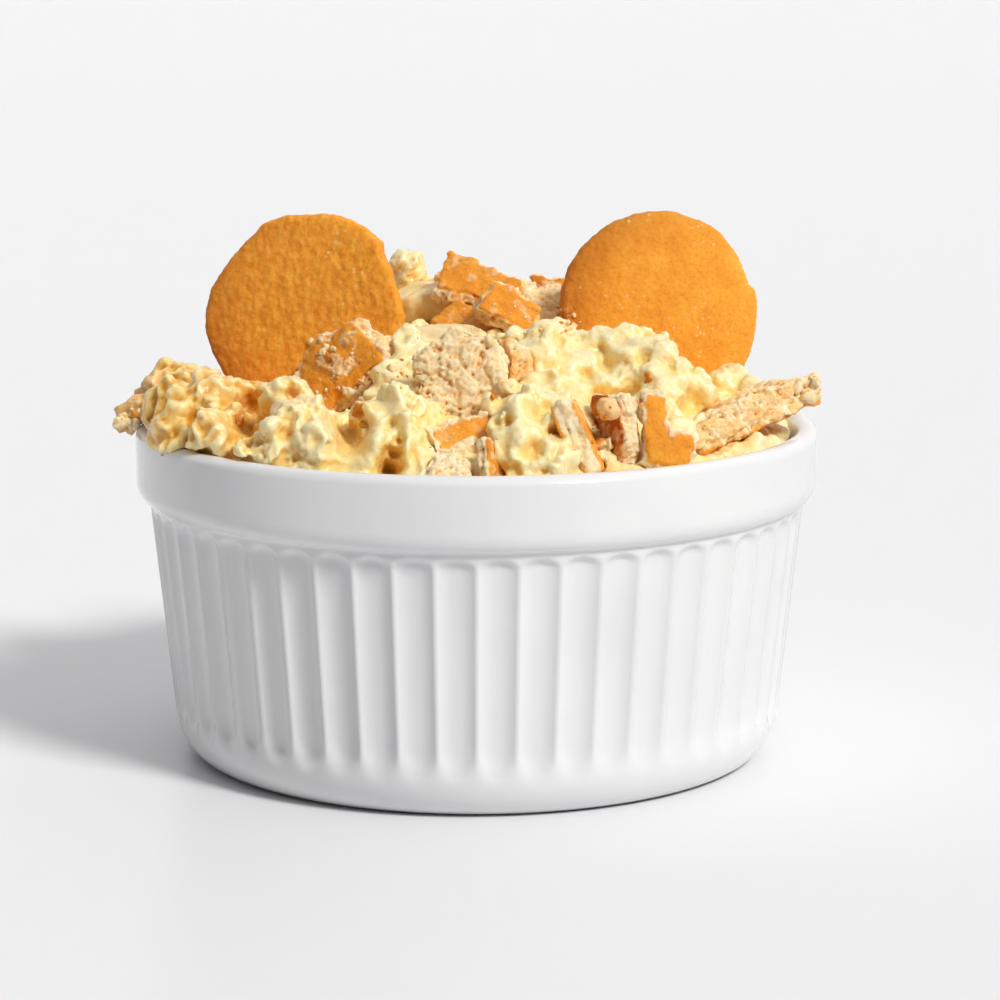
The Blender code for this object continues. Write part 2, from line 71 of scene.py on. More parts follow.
# Where each wafer lies, as the solids have it: middle, thickness, facing,
# spin and the side shown; then what its upper and its lower side look like
# (crust, base or crumb)
WAFERS = {
    "wafer_left": ((-32.2, 17.5, 79.6), 6.6, (-13, 8), 0, "base", "crust", "base"),
    "wafer_right": ((35.2, 20.5, 79.9), 6.6, (5, 10), 0, "crust", "crust", "base"),
    "broken_wafer_curled": ((-25.4, -10.5, 71.0), 5.5, (-28, 12), 0, "crust", "crust", "base"),
    "broken_wafer_centre": ((-2.8, -31.2, 71.6), 6.0, (-8, 14), 0, "base", "crust", "crumb"),
    "broken_wafer_under_centre": ((-2.0, -41.4, 65.3), 4.0, (4, 50), 18, "crust", "crust",
                                  "crumb"),
    "broken_wafer_beside_centre": ((7.2, -22.5, 75.2), 4.0, (20, 14), 0, "base", "crust", "crumb"),
    "broken_wafer_stack_top": ((1.0, 22.4, 84.8), 4.6, (-4, 54), -14, "crust", "crust", "base"),
    "broken_wafer_stack_right": ((6.2, 5.6, 81.6), 4.6, (20, 34), -34, "crust", "crust", "base"),
    "broken_wafer_stack_low": ((-1.4, 11.0, 77.6), 3.6, (-20, 66), -24, "base", "crust", "base"),
    "broken_wafer_back_slab": ((12.8, 36.4, 79.7), 4.2, (0, 72), 0, "base", "crust", "crumb"),
    "broken_wafer_back_thin": ((16.0, 46.0, 77.9), 3.6, (0, 20), 0, "crust", "crust", "base"),
    "broken_wafer_back_upright": ((13.8, 27.4, 73.6), 4.4, (4, 6), 0, "base", "crust", "crumb"),
    "broken_wafer_front_slab": ((17.6, -46.2, 66.2), 4.6, (88, 25), 0, "crust", "crust", "base"),
    "broken_wafer_front_upright": ((24.1, -41.2, 66.8), 4.0, (120, 2), 0, "crust", "crust",
                                   "base"),
    "broken_wafer_front_face": ((33.0, -44.8, 67.0), 3.6, (10, 14), 0, "crust", "crust", "base"),
    "broken_wafer_long": ((47.6, -18.5, 65.9), 6.4, (-95, 73), 45, "crust", "crumb", "base"),
    "broken_wafer_front_low": ((-4.6, -53.4, 60.6), 4.0, (-4, 62), 0, "base", "crust", "crumb"),
    "broken_wafer_front_edge": ((2.6, -52.4, 61.8), 3.0, (62, 16), -14, "crust", "crust",
                                "base"),
}
BANANAS = ("banana_slice_back", "banana_slice_middle", "banana_slice_right")

# The curled piece keeps the wafer's own rim: the wafer's middle in its frame
CURLED_MIDDLE = (7.70, -6.94)
OWN_RIM = 18.6
OWN_SHOULDER = 19.2

# Side of a whole wafer whose rim is painted darkest, in the same degrees: baked browning of the rim,
# with painted shade on the side away from the key light
DARK_SIDES = {"wafer_left": 215, "wafer_right": 170}

# How much of a piece's crust has flaked to paler crumb, where it isn't 0.45
FLAKED = {"broken_wafer_curled": 0.75, "broken_wafer_front_face": 0.0,
          "broken_wafer_under_centre": 0.2}

# How brown a piece's crust is painted, where it isn't 0: baked browning, and on the front upright
# piece also painted shade of the hollow it stands in
BROWNED = {"broken_wafer_front_upright": 1.6, "broken_wafer_front_edge": 0.7,
           "broken_wafer_under_centre": 0.25, "broken_wafer_curled": 0.25,
           "broken_wafer_stack_low": 0.6, "broken_wafer_back_thin": 0.9,
           "broken_wafer_stack_top": 0.45, "broken_wafer_stack_right": 0.35}

# How tanned a piece's crumb is, where it isn't 0
TANNED = {"broken_wafer_stack_top": 0.55, "broken_wafer_stack_right": 0.35,
          "broken_wafer_stack_low": 0.6, "broken_wafer_back_slab": 0.15,
          "broken_wafer_back_upright": 0.3, "broken_wafer_curled": 0.2,
          "broken_wafer_long": 0.3, "broken_wafer_centre": 0.08,
          "broken_wafer_beside_centre": 0.4}

# How wide a piece's crust has come off along its outline, in millimetres
PALE_EDGES = {"broken_wafer_under_centre": 1.1, "broken_wafer_front_face": 0.1}

# Pieces whose crumb lies in long sheets
DRAWN_OUT = ("broken_wafer_long",)

# How far a piece's relief goes, where it isn't 1
CALM = {"broken_wafer_front_slab": 0.5, "broken_wafer_front_upright": 0.8}

# Steps a unit of the crumb's relief
CRAG_LEVELS = 2.2

# Outlines of the whole wafers as seen from the side shown: degrees round
# from the right, and the share of the radius there
OUTLINES = {
    "wafer_left": (19.9, ((0, 0.972), (9, 0.943), (23, 0.936), (32, 0.955), (39, 0.962), (44, 1.035),
                          (52, 1.015), (62, 1.012), (71, 1.0), (90, 0.953), (102, 0.970),
                          (118, 0.972), (129, 0.915), (141, 0.912), (156, 0.935), (168, 0.985),
                          (188, 1.008), (210, 0.995), (250, 0.99), (300, 0.985), (340, 0.985))),
    "wafer_right": (19.4, ((0, 0.985), (5, 0.992), (11, 1.0), (16, 0.950), (26, 0.942), (40, 0.968),
                           (50, 0.994), (69, 0.99), (84, 1.0), (113, 0.993), (145, 0.994),
                           (169, 0.996), (210, 0.99), (260, 0.99), (309, 1.02), (316, 1.035),
                           (324, 1.02), (337, 1.0))),
}


# Mesh helpers

def welded(node):
    """Vertices in millimetres and faces of a solid of the frame."""
    work = bmesh.new()
    work.from_mesh(NODES[node].data)
    work.transform(NODES[node].matrix_world)
    bmesh.ops.scale(work, vec=(1000.0, 1000.0, 1000.0), verts=work.verts[:])
    bmesh.ops.remove_doubles(work, verts=work.verts[:], dist=0.002)
    return work


def new_mesh(name, points, faces):
    mesh = bpy.data.meshes.new(name)
    mesh.from_pydata([tuple(p) for p in points], [], [tuple(f) for f in faces])
    return mesh


def applied(name, mesh, changes):
    """Mesh after a list of modifiers, each a type and its settings."""
    obj = bpy.data.objects.new(name + "_work", mesh)
    bpy.context.scene.collection.objects.link(obj)
    for number, (kind, settings) in enumerate(changes):
        modifier = obj.modifiers.new(f"step_{number}", kind)
        for key, value in settings.items():
            setattr(modifier, key, value)
    bpy.context.view_layer.update()
    depsgraph = bpy.context.evaluated_depsgraph_get()
    result = bpy.data.meshes.new_from_object(obj.evaluated_get(depsgraph))
    bpy.data.objects.remove(obj, do_unlink=True)
    result.name = name
    return result


def remeshed(name, mesh, voxel, rounds=2, factor=0.5):
    """One even skin round a mesh, a little smoothed."""
    return applied(name, mesh, [
        ("REMESH", {"mode": "VOXEL", "voxel_size": voxel, "adaptivity": 0.0}),
        ("SMOOTH", {"factor": factor, "iterations": rounds}),
    ])


def points_of(mesh):
    points = np.empty(len(mesh.vertices) * 3)
    mesh.vertices.foreach_get("co", points)
    return points.reshape(-1, 3)


def normals_of(mesh):
    normals = np.empty(len(mesh.vertices) * 3, dtype=np.float32)
    mesh.vertices.foreach_get("normal", normals)
    return normals.reshape(-1, 3).astype(float)


def set_points(mesh, points):
    mesh.vertices.foreach_set("co", np.ascontiguousarray(points).ravel())
    mesh.update()


def field(points, size, octaves=1, shift=(0.0, 0.0, 0.0)):
    """Smooth seeded noise at each point, about -1 to 1."""
    moved = points / size + np.array(shift)
    if octaves == 1:
        return np.array([noise.noise(p) for p in moved.tolist()])
    return np.array([noise.fractal(p, 0.8, 2.1, octaves) for p in moved.tolist()])


def cells(points, size, shift=(0.0, 0.0, 0.0)):
    """Distance to the nearest of scattered points, 0 to about 1."""
    moved = points / size + np.array(shift)
    return np.array([noise.voronoi(p)[0][0] for p in moved.tolist()])


def smoothstep(low, high, values):
    share = np.clip((values - low) / (high - low), 0.0, 1.0)
    return share * share * (3.0 - 2.0 * share)


def paint(mesh, name, values):
    """Store one value, or one colour, for each vertex."""
    layer = mesh.color_attributes.new(name=name, type="FLOAT_COLOR", domain="POINT")
    values = np.asarray(values, dtype=np.float32)
    if values.ndim == 1:
        values = np.repeat(values[:, None], 3, axis=1)
    colours = np.concatenate([values, np.ones((len(values), 1), np.float32)], axis=1)
    layer.data.foreach_set("color", colours.ravel())


def shelter(mesh, tree, reach, rays=14):
    """How much of the sky each vertex sees, from 0 to 1."""
    points = points_of(mesh)
    normals = normals_of(mesh)
    chance = random.Random(5)
    ways = []
    while len(ways) < rays:
        way = Vector((chance.uniform(-1, 1), chance.uniform(-1, 1), chance.uniform(-1, 1)))
        if 0.1 < way.length < 1.0:
            ways.append(way.normalized())
    seen = np.empty(len(points))
    for number, (point, normal) in enumerate(zip(points, normals)):
        out = Vector(normal)
        start = Vector(point) + out * 0.25
        free = 0
        for way in ways:
            turned = way if way.dot(out) > 0.0 else -way
            hit = tree.ray_cast(start, (turned + out * 0.4).normalized(), reach)
            if hit[0] is None:
                free += 1
        seen[number] = free / rays
    return seen


def tree_of(meshes):
    """Search tree over several meshes."""
    points = []
    faces = []
    for mesh in meshes:
        start = len(points)
        points += [v.co.copy() for v in mesh.vertices]
        faces += [[start + i for i in p.vertices] for p in mesh.polygons]
    return BVHTree.FromPolygons(points, faces)


def add_piece(name, mesh, nodes, material, smooth=True):
    """Finished piece in metres that rides on the only body."""
    mesh.transform(Matrix.Scale(MM, 4))
    mesh.materials.clear()
    mesh.materials.append(material)
    if smooth:
        mesh.shade_smooth()
    obj = bpy.data.objects.new(name, mesh)
    bpy.context.scene.collection.objects.link(obj)
    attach(obj, "root")
    if nodes:
        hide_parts(*nodes)
    return obj


def raw_mesh(name, points, triangles):
    """Mesh of triangles from arrays."""
    mesh = bpy.data.meshes.new(name)
    mesh.vertices.add(len(points))
    mesh.vertices.foreach_set("co", np.ascontiguousarray(points, dtype=np.float32).ravel())
    mesh.loops.add(3 * len(triangles))
    mesh.loops.foreach_set("vertex_index", np.ascontiguousarray(triangles).ravel())
    mesh.polygons.add(len(triangles))
    mesh.polygons.foreach_set("loop_start", np.arange(0, 3 * len(triangles), 3))
    mesh.update(calc_edges=True)
    return mesh


def arrays_of(mesh):
    """Points and triangles of a mesh."""
    mesh.calc_loop_triangles()
    triangles = np.empty(3 * len(mesh.loop_triangles), dtype=np.int64)
    mesh.loop_triangles.foreach_get("vertices", triangles)
    return points_of(mesh), triangles.reshape(-1, 3)


def unit_ball(rounds):
    work = bmesh.new()
    bmesh.ops.create_icosphere(work, subdivisions=rounds, radius=1.0)
    points = np.array([v.co[:] for v in work.verts])
    triangles = np.array([[v.index for v in f.verts] for f in work.faces])
    work.free()
    return points, triangles


def random_turn(chance):
    """Rotation matrix drawn from a seeded generator."""
    q = chance.normal(size=4)
    w, x, y, z = q / np.linalg.norm(q)
    return np.array([
        [1 - 2 * (y * y + z * z), 2 * (x * y - z * w), 2 * (x * z + y * w)],
        [2 * (x * y + z * w), 1 - 2 * (x * x + z * z), 2 * (y * z - x * w)],
        [2 * (x * z - y * w), 2 * (y * z + x * w), 1 - 2 * (x * x + y * y)],
    ])


def scattered_balls(places, radii, seed, rounds=1, squash=0.35, knobs=0.22):
    """One mesh's arrays with an uneven, stretched ball at each place."""
    chance = np.random.default_rng(seed)
    ball, triangles = unit_ball(rounds)
    all_points = []
    all_triangles = []
    for number, (place, radius) in enumerate(zip(places, radii)):
        waves = chance.normal(size=(3, 3)) * 1.7
        phases = chance.uniform(0, 2 * math.pi, 3)
        swell = 1.0 + knobs * np.cos(ball @ waves.T + phases).sum(axis=1) / 1.7
        stretch = 1.0 + chance.uniform(-squash, squash, 3)
        points = (ball * swell[:, None] * stretch) @ random_turn(chance).T
        all_points.append(points * radius + place)
        all_triangles.append(triangles + number * len(ball))
    return np.concatenate(all_points), np.concatenate(all_triangles)


def spread_over(points, triangles, count, chance, keep):
    """Seeded places on a surface and its normals there, where keep allows."""
    corners = points[triangles]
    cross = np.cross(corners[:, 1] - corners[:, 0], corners[:, 2] - corners[:, 0])
    areas = np.linalg.norm(cross, axis=1)
    normals = cross / np.maximum(areas, 1e-9)[:, None]
    middles = corners.mean(axis=1)
    weights = areas * keep(middles, normals)
    picked = chance.choice(len(triangles), size=count, p=weights / weights.sum())
    first = np.sqrt(chance.uniform(size=count))
    second = chance.uniform(size=count)
    mix = np.stack([1 - first, first * (1 - second), first * second], axis=1)
    places = (corners[picked] * mix[:, :, None]).sum(axis=1)
    return places, normals[picked]


# The dish

def ellipse(centre, radii, start, end, count):
    points = []
    for i in range(count + 1):
        angle = math.radians(start + (end - start) * i / count)
        points.append((centre[0] + radii[0] * math.cos(angle),
                       centre[1] + radii[1] * math.sin(angle)))
    return points


def dish_outline():
    """Section of the dish from its floor over the rim to its base."""
    outline = [(0.0, FLOOR_THICKNESS), (24.0, FLOOR_THICKNESS)]
    corner = (INSIDE_BOTTOM_RADIUS - INSIDE_CORNER, FLOOR_THICKNESS + INSIDE_CORNER)
    outline += ellipse(corner, (INSIDE_CORNER, INSIDE_CORNER), -90, 0, 4)
    outline += [(55.0, 30.0), (INSIDE_TOP_RADIUS, BAND_BOTTOM), (58.3, 53.0), (59.0, 57.0)]
    rim_out = RIM_RADIUS - CREST_RADIUS
    rim_in = CREST_RADIUS - RIM_INNER
    crest = DISH_HEIGHT - rim_out
    outline += ellipse((CREST_RADIUS, crest), (rim_in, rim_out), 180, 90, 7)
    outline += ellipse((CREST_RADIUS, crest), (rim_out, rim_out), 90, 0, 8)[1:]
    outline += [(RIM_RADIUS, 57.6), (RIM_RADIUS - 0.05, 54.6)]
    band_corner = (WALL_TOP_RADIUS + 0.1, BAND_BOTTOM + 3.6)
    outline += ellipse(band_corner, (RIM_RADIUS - 0.1 - WALL_TOP_RADIUS, 3.6), 0, -80, 7)
    outline += [(WALL_TOP_RADIUS + 0.12, BAND_BOTTOM - 0.25)]
    heights = [47.9, 47.5, 47.1, 46.7, 46.2, 45.5, 44.5, 43.0, 40.0, 35.0, 29.0, 23.0, 18.0,
               15.0, 13.0, 11.6, 10.6]
    for height in heights:
        outline.append((WALL_BOTTOM_RADIUS + (height - WALL_BOTTOM) / 9.5, height))
    foot = (WALL_BOTTOM_RADIUS - BASE_RADIUS, WALL_BOTTOM)
    outline += ellipse((BASE_RADIUS, WALL_BOTTOM), foot, 0, -90, 10)
    outline += [(46.0, 0.0), (0.0, 0.0)]
    return outline


def flute(share, height):
    """Depth of a flute at a share of its width and a height."""
    across = 2.0 * share - 1.0
    hollow = 1.0 - abs(across) ** 2.4
    above = (FLUTE_TOP - height) / 1.5 - 0.9 * across * across
    below = (height - FLUTE_BOTTOM) / 5.0 - 0.5 * across * across
    fade = 1.0
    for end in (above, below):
        end = max(0.0, min(1.0, end))
        fade *= end * end * (3.0 - 2.0 * end)
    return FLUTE_DEPTH * hollow * fade


def make_ramekin(material):
    outline = dish_outline()
    steps = FLUTES * STEPS_A_FLUTE
    points = [(0.0, 0.0, outline[0][1])]
    for radius, height in outline[1:-1]:
        wall = WALL_BOTTOM_RADIUS + (height - WALL_BOTTOM) / 9.5
        on_wall = height < FLUTE_TOP + 0.2 and radius > wall - 1.2
        for step in range(steps):
            angle = 2.0 * math.pi * step / steps
            pushed = radius
            if on_wall:
                pushed -= flute((step % STEPS_A_FLUTE) / STEPS_A_FLUTE, height)
            points.append((pushed * math.cos(angle), pushed * math.sin(angle), height))
    points.append((0.0, 0.0, 0.0))
    rings = len(outline) - 2
    faces = []
    for step in range(steps):
        after = (step + 1) % steps
        faces.append((0, 1 + step, 1 + after))
        for ring in range(rings - 1):
            low = 1 + ring * steps
            high = low + steps
            faces.append((low + step, high + step, high + after, low + after))
        last = 1 + (rings - 1) * steps
        faces.append((last + step, len(points) - 1, last + after))
    mesh = new_mesh("ramekin_glazed", points, faces)
    mesh.update()
    return add_piece("ramekin_glazed", mesh, ["ramekin"], material)


# The wafers

def towards(facing):
    around = math.radians(facing[0])
    up = math.radians(facing[1])
    return Vector((math.sin(around) * math.cos(up),
                   -math.cos(around) * math.cos(up), math.sin(up)))


def placing(centre, facing, spin=0.0, shown="crust"):
    """Matrix from a wafer's own frame to the dish's, in millimetres."""
    out = towards(facing)
    side = Vector((-out.y, out.x, 0.0)).normalized()
    if shown == "base":
        out = -out
        side = -side
        spin = -spin
    up = out.cross(side)
    turn = Matrix((side, up, out)).transposed().to_4x4()
    return Matrix.Translation(centre) @ turn @ Matrix.Rotation(math.radians(spin), 4, "Z")


def layers_of(name, points):
    """Share of baked skin at each place, in the wafer's own frame."""
    thickness, upper, lower = WAFERS[name][1], WAFERS[name][5], WAFERS[name][6]
    middle = CURLED_MIDDLE if name == "broken_wafer_curled" else (0.0, 0.0)
    radial = np.hypot(points[:, 0] - middle[0], points[:, 1] - middle[1])
    share = np.clip(radial / OWN_SHOULDER, 0.0, 1.0)
    top = 0.5 * thickness - 0.44 * thickness * share ** 2.6
    ragged = 0.22 * field(points, 1.3, 2)
    skin = np.zeros(len(points))
    if upper != "crumb":
        skin = np.maximum(skin, 1.0 - smoothstep(0.38, 0.75, top - points[:, 2] + ragged))
    if lower != "crumb":
        below = points[:, 2] + 0.5 * thickness
        skin = np.maximum(skin, 1.0 - smoothstep(0.38, 0.75, below + ragged))
    if name == "broken_wafer_curled":
        skin = np.maximum(skin, smoothstep(OWN_RIM - 0.5, OWN_RIM + 0.4, radial + ragged))
    return skin


def crags(points, size, shift):
    """Relief of broken blocks with steep sides, about -0.5 to 0.5."""
    level = CRAG_LEVELS * field(points, size, 2, shift)
    whole = np.floor(level)
    return (whole + smoothstep(0.25, 0.75, level - whole)) / CRAG_LEVELS


def sheeted(points, shift):
    """Sheets of crumb that run along a piece, -0.5 to 0.5 or so."""
    flat = points[:, :2] - points[:, :2].mean(axis=0)
    along = np.linalg.eigh(flat.T @ flat)[1][:, 1]
    across = np.array((-along[1], along[0]))
    drawn = np.stack([flat @ along * 0.30, flat @ across * 1.5, points[:, 2]], axis=1)
    return field(drawn, 2.4, 2, shift)


def wafer_relief(points, normals, skin, lower, shift, drawn_out):
    """How far each place of a piece stands out."""
    side = 1.0 - smoothstep(0.35, 0.8, np.abs(normals[:, 2]))
    outline = side * (0.80 * field(points, 7.0, 1, shift) + 0.26 * ridged(points, 2.4, shift))
    flat = points * np.array((1.0, 1.0, 2.6))
    sheets = field(flat, 2.3, 2, shift)
    grains = cells(points, 1.0, shift) - 0.5
    pores = 1.0 - smoothstep(0.06, 0.24, cells(points, 2.3, shift))
    fine = field(points, 1.3, 3, (3.0 + shift[0], 1.0, 2.0))
    torn = 0.30 * sheets * side + 1.15 * crags(points, 4.0, shift)
    torn = torn + 0.24 * fine + 0.08 * grains - 0.45 * pores
    torn = torn + 0.14 * field(points, 0.7, 1, shift)
    if drawn_out:
        torn = torn + (1.0 - side) * 0.75 * sheeted(points, shift)
    baked = 0.44 * field(points, 4.2, 2, shift) + 0.12 * field(points, 1.1, 2, shift)
    if lower != "crumb":
        base = smoothstep(0.2, 0.6, -normals[:, 2])
        baked = baked + base * 0.10 * field(points, 0.9, 1, shift)
    return outline + baked * skin + torn * (1.0 - skin)


def pale_edge(points, normals, width):
    """Share of a face that stays baked, away from its broken outline."""
    tree = KDTree(len(points))
    sides = np.flatnonzero(np.abs(normals[:, 2]) < 0.5)
    for index in sides:
        tree.insert(points[index], int(index))
    tree.balance()
    away = np.array([tree.find(point)[2] for point in points])
    ragged = 0.5 * field(points, 1.6, 2, (7.0, 2.0, 3.0))
    return smoothstep(width - 0.25, width + 0.25, away + ragged)


def to_outline(name, points):
    """Whole wafer's points with its outline brought to the one it should have."""
    nominal, stops = OUTLINES[name]
    angles = np.degrees(np.arctan2(points[:, 1], points[:, 0])) % 360.0
    radial = np.hypot(points[:, 0], points[:, 1])
    bins = np.arange(0.0, 360.0, 4.0)
    widest = np.array([radial[np.abs((angles - b + 180.0) % 360.0 - 180.0) < 4.0].max()
                       for b in bins])
    seen = (180.0 - angles) % 360.0 if WAFERS[name][4] == "base" else angles
    wanted = nominal * np.interp(seen, *np.array(stops).T, period=360.0)
    now = np.interp(angles, bins, widest, period=360.0)
    share = smoothstep(0.55, 0.97, radial / now)
    grow = 1.0 + share * (wanted / now - 1.0)
    return points * np.stack([grow, grow, np.ones(len(grow))], axis=1), seen


def make_wafer(name, voxel, material, sky):
    """Fine crust and crumb of one wafer or piece, from its own solid."""
    centre, thickness, facing, spin, shown, upper, lower = WAFERS[name]
    there = placing(centre, facing, spin, shown)
    work = welded(name)
    bmesh.ops.transform(work, matrix=there.inverted(), verts=work.verts[:])
    solid = bpy.data.meshes.new(name + "_solid")
    work.to_mesh(solid)
    work.free()
    whole = name.startswith("wafer")
    mesh = remeshed(name + "_baked", solid, voxel, rounds=36 if whole else 10)
    points = points_of(mesh)
    normals = normals_of(mesh)
    seed = sum(map(ord, name)) % 97 * 0.37
    shift = (seed, seed * 0.5, -seed)
    base_side = smoothstep(0.2, 0.6, -normals[:, 2])
    if whole:
        points, seen = to_outline(name, points)
        radial = np.hypot(points[:, 0], points[:, 1])
        skin = np.ones(len(points))
        hollow = np.zeros(len(points))
        rim = smoothstep(16.5, 19.0, radial)
        moved = 0.16 * field(points, 6.0, 2, shift) + 0.08 * field(points, 1.3, 2, shift)
        moved = moved + rim * (0.22 * field(points, 3.1, 2, shift)
                               + 0.10 * np.abs(field(points, 1.2, 1, shift)))
        streaks = field(points * np.array((1.7, 0.8, 1.0)), 1.6, 2, shift)
        moved = moved + base_side * (0.15 * streaks + 0.12 * field(points, 0.8, 1, shift))
        moved = moved + (1.0 - base_side) * 0.10 * field(points, 0.8, 1, shift)
        # Painted shade with baked browning: the rim is browned most on the side away from the key
        # light, and hardly at all towards the lit side
        dark_side = np.cos(np.radians(seen - DARK_SIDES[name]))
        edge = smoothstep(9.0, 19.5, radial) * (0.45 + 0.55 * dark_side)
    else:
        skin = layers_of(name, points)
        flaked = field(points, 3.2, 3, (seed, 3.0, 1.0))
        skin = skin * (1.0 - FLAKED.get(name, 0.45) * smoothstep(0.26, 0.44, flaked))
        if name in PALE_EDGES:
            skin = skin * pale_edge(points, normals, PALE_EDGES[name])
        moved = wafer_relief(points, normals, skin, lower, shift, name in DRAWN_OUT)
        moved = moved * CALM.get(name, 1.0)
    set_points(mesh, points + normals * moved[:, None])
    # Painted shade in the crumb: the deeper a place lies below the smoothed surface, the browner it is
    # coloured; tanned patches add to the same value
    if not whole:
        hollow = 0.95 * (1.0 - smoothstep(-0.22, -0.03, relief_of(mesh, 20)))
        hollow = np.maximum(hollow, tanned(name, points))
    paint(mesh, "crust", skin)
    paint(mesh, "under", base_side * (1.0 if lower == "base" else 0.0))
    # Edge browns the crust: on whole wafers a baked rim with painted shade on the side away from the
    # key light, on pieces browning at breaks and in patches
    paint(mesh, "edge", np.clip(edge, 0.0, 1.0) if whole
          else np.maximum(0.6 * side_dark(skin), browned(name, points)))
    paint(mesh, "hollow", hollow)
    mesh.transform(there)
    sky.append(mesh.copy())
    return add_piece(mesh.name, mesh, [name], material)


def browned(name, points):
    """How brown a piece is painted, in patches, as BROWNED gives it."""
    patches = smoothstep(-0.5, 0.3, field(points, 2.6, 2, (3.0, 8.0, 1.0)))
    return BROWNED.get(name, 0.0) * (0.6 + 0.4 * patches)


def tanned(name, points):
    """How tanned the crumb of a piece is, in patches."""
    patches = smoothstep(-0.35, 0.35, field(points, 2.9, 2, (1.0, 5.0, 7.0)))
    return TANNED.get(name, 0.0) * patches


def side_dark(skin):
    """Baked skin is darkest where it thins out at a break."""
    return 4.0 * skin * (1.0 - skin)


def make_banana(name, material, sky):
    work = welded(name)
    solid = bpy.data.meshes.new(name + "_solid")
    work.to_mesh(solid)
    work.free()
    mesh = remeshed(name + "_cut", solid, 0.5, rounds=6)
    points = points_of(mesh)
    normals = normals_of(mesh)
    moved = 0.22 * field(points, 2.4, 2) + 0.08 * field(points, 0.9)
    set_points(mesh, points + normals * moved[:, None])
    paint(mesh, "hollow", smoothstep(-0.4, 0.5, field(points, 3.0, 2, (4.0, 1.0, 2.0))))
    sky.append(mesh.copy())
    return add_piece(mesh.name, mesh, [name], material)


def make_bead(material, sky):
    """Round crumb between the two front pieces."""
    work = welded("wafer_crumb_front")
    bmesh.ops.subdivide_edges(work, edges=work.edges[:], cuts=3, use_grid_fill=True,
                              smooth=1.0)
    solid = bpy.data.meshes.new("bead_solid")
    work.to_mesh(solid)
    work.free()
    mesh = remeshed("wafer_crumb_front_baked", solid, 0.25, rounds=6)
    points = points_of(mesh)
    moved = 0.12 * field(points, 1.4, 2)
    set_points(mesh, points + normals_of(mesh) * moved[:, None])
    paint(mesh, "crust", 0.3 * smoothstep(-0.2, 0.6, field(points, 2.2, 1, (2.0, 2.0, 5.0))))
    paint(mesh, "under", np.zeros(len(points)))
    paint(mesh, "edge", np.zeros(len(points)))
    paint(mesh, "hollow", np.full(len(points), 0.25))
    sky.append(mesh.copy())
    return add_piece(mesh.name, mesh, ["wafer_crumb_front"], material)


# The pudding

HEAP_CUT = 52.0
CURD_COUNT = 280
CURD_SEED = 21
MASS_SEED = 4
MASS_REACH = 54.0
FIRST_VOXEL = 0.50
VOXEL = 0.42
MOST_TRIANGLES = 190000
MELT_ROUNDS = 7
FOLD_MEAN = 0.50

# Lobes of cream are laid where the line of sight from the eye meets the heap
EYE = Vector((0.0, -610.1, 157.7))
SIGHT_PLANE = -30.0

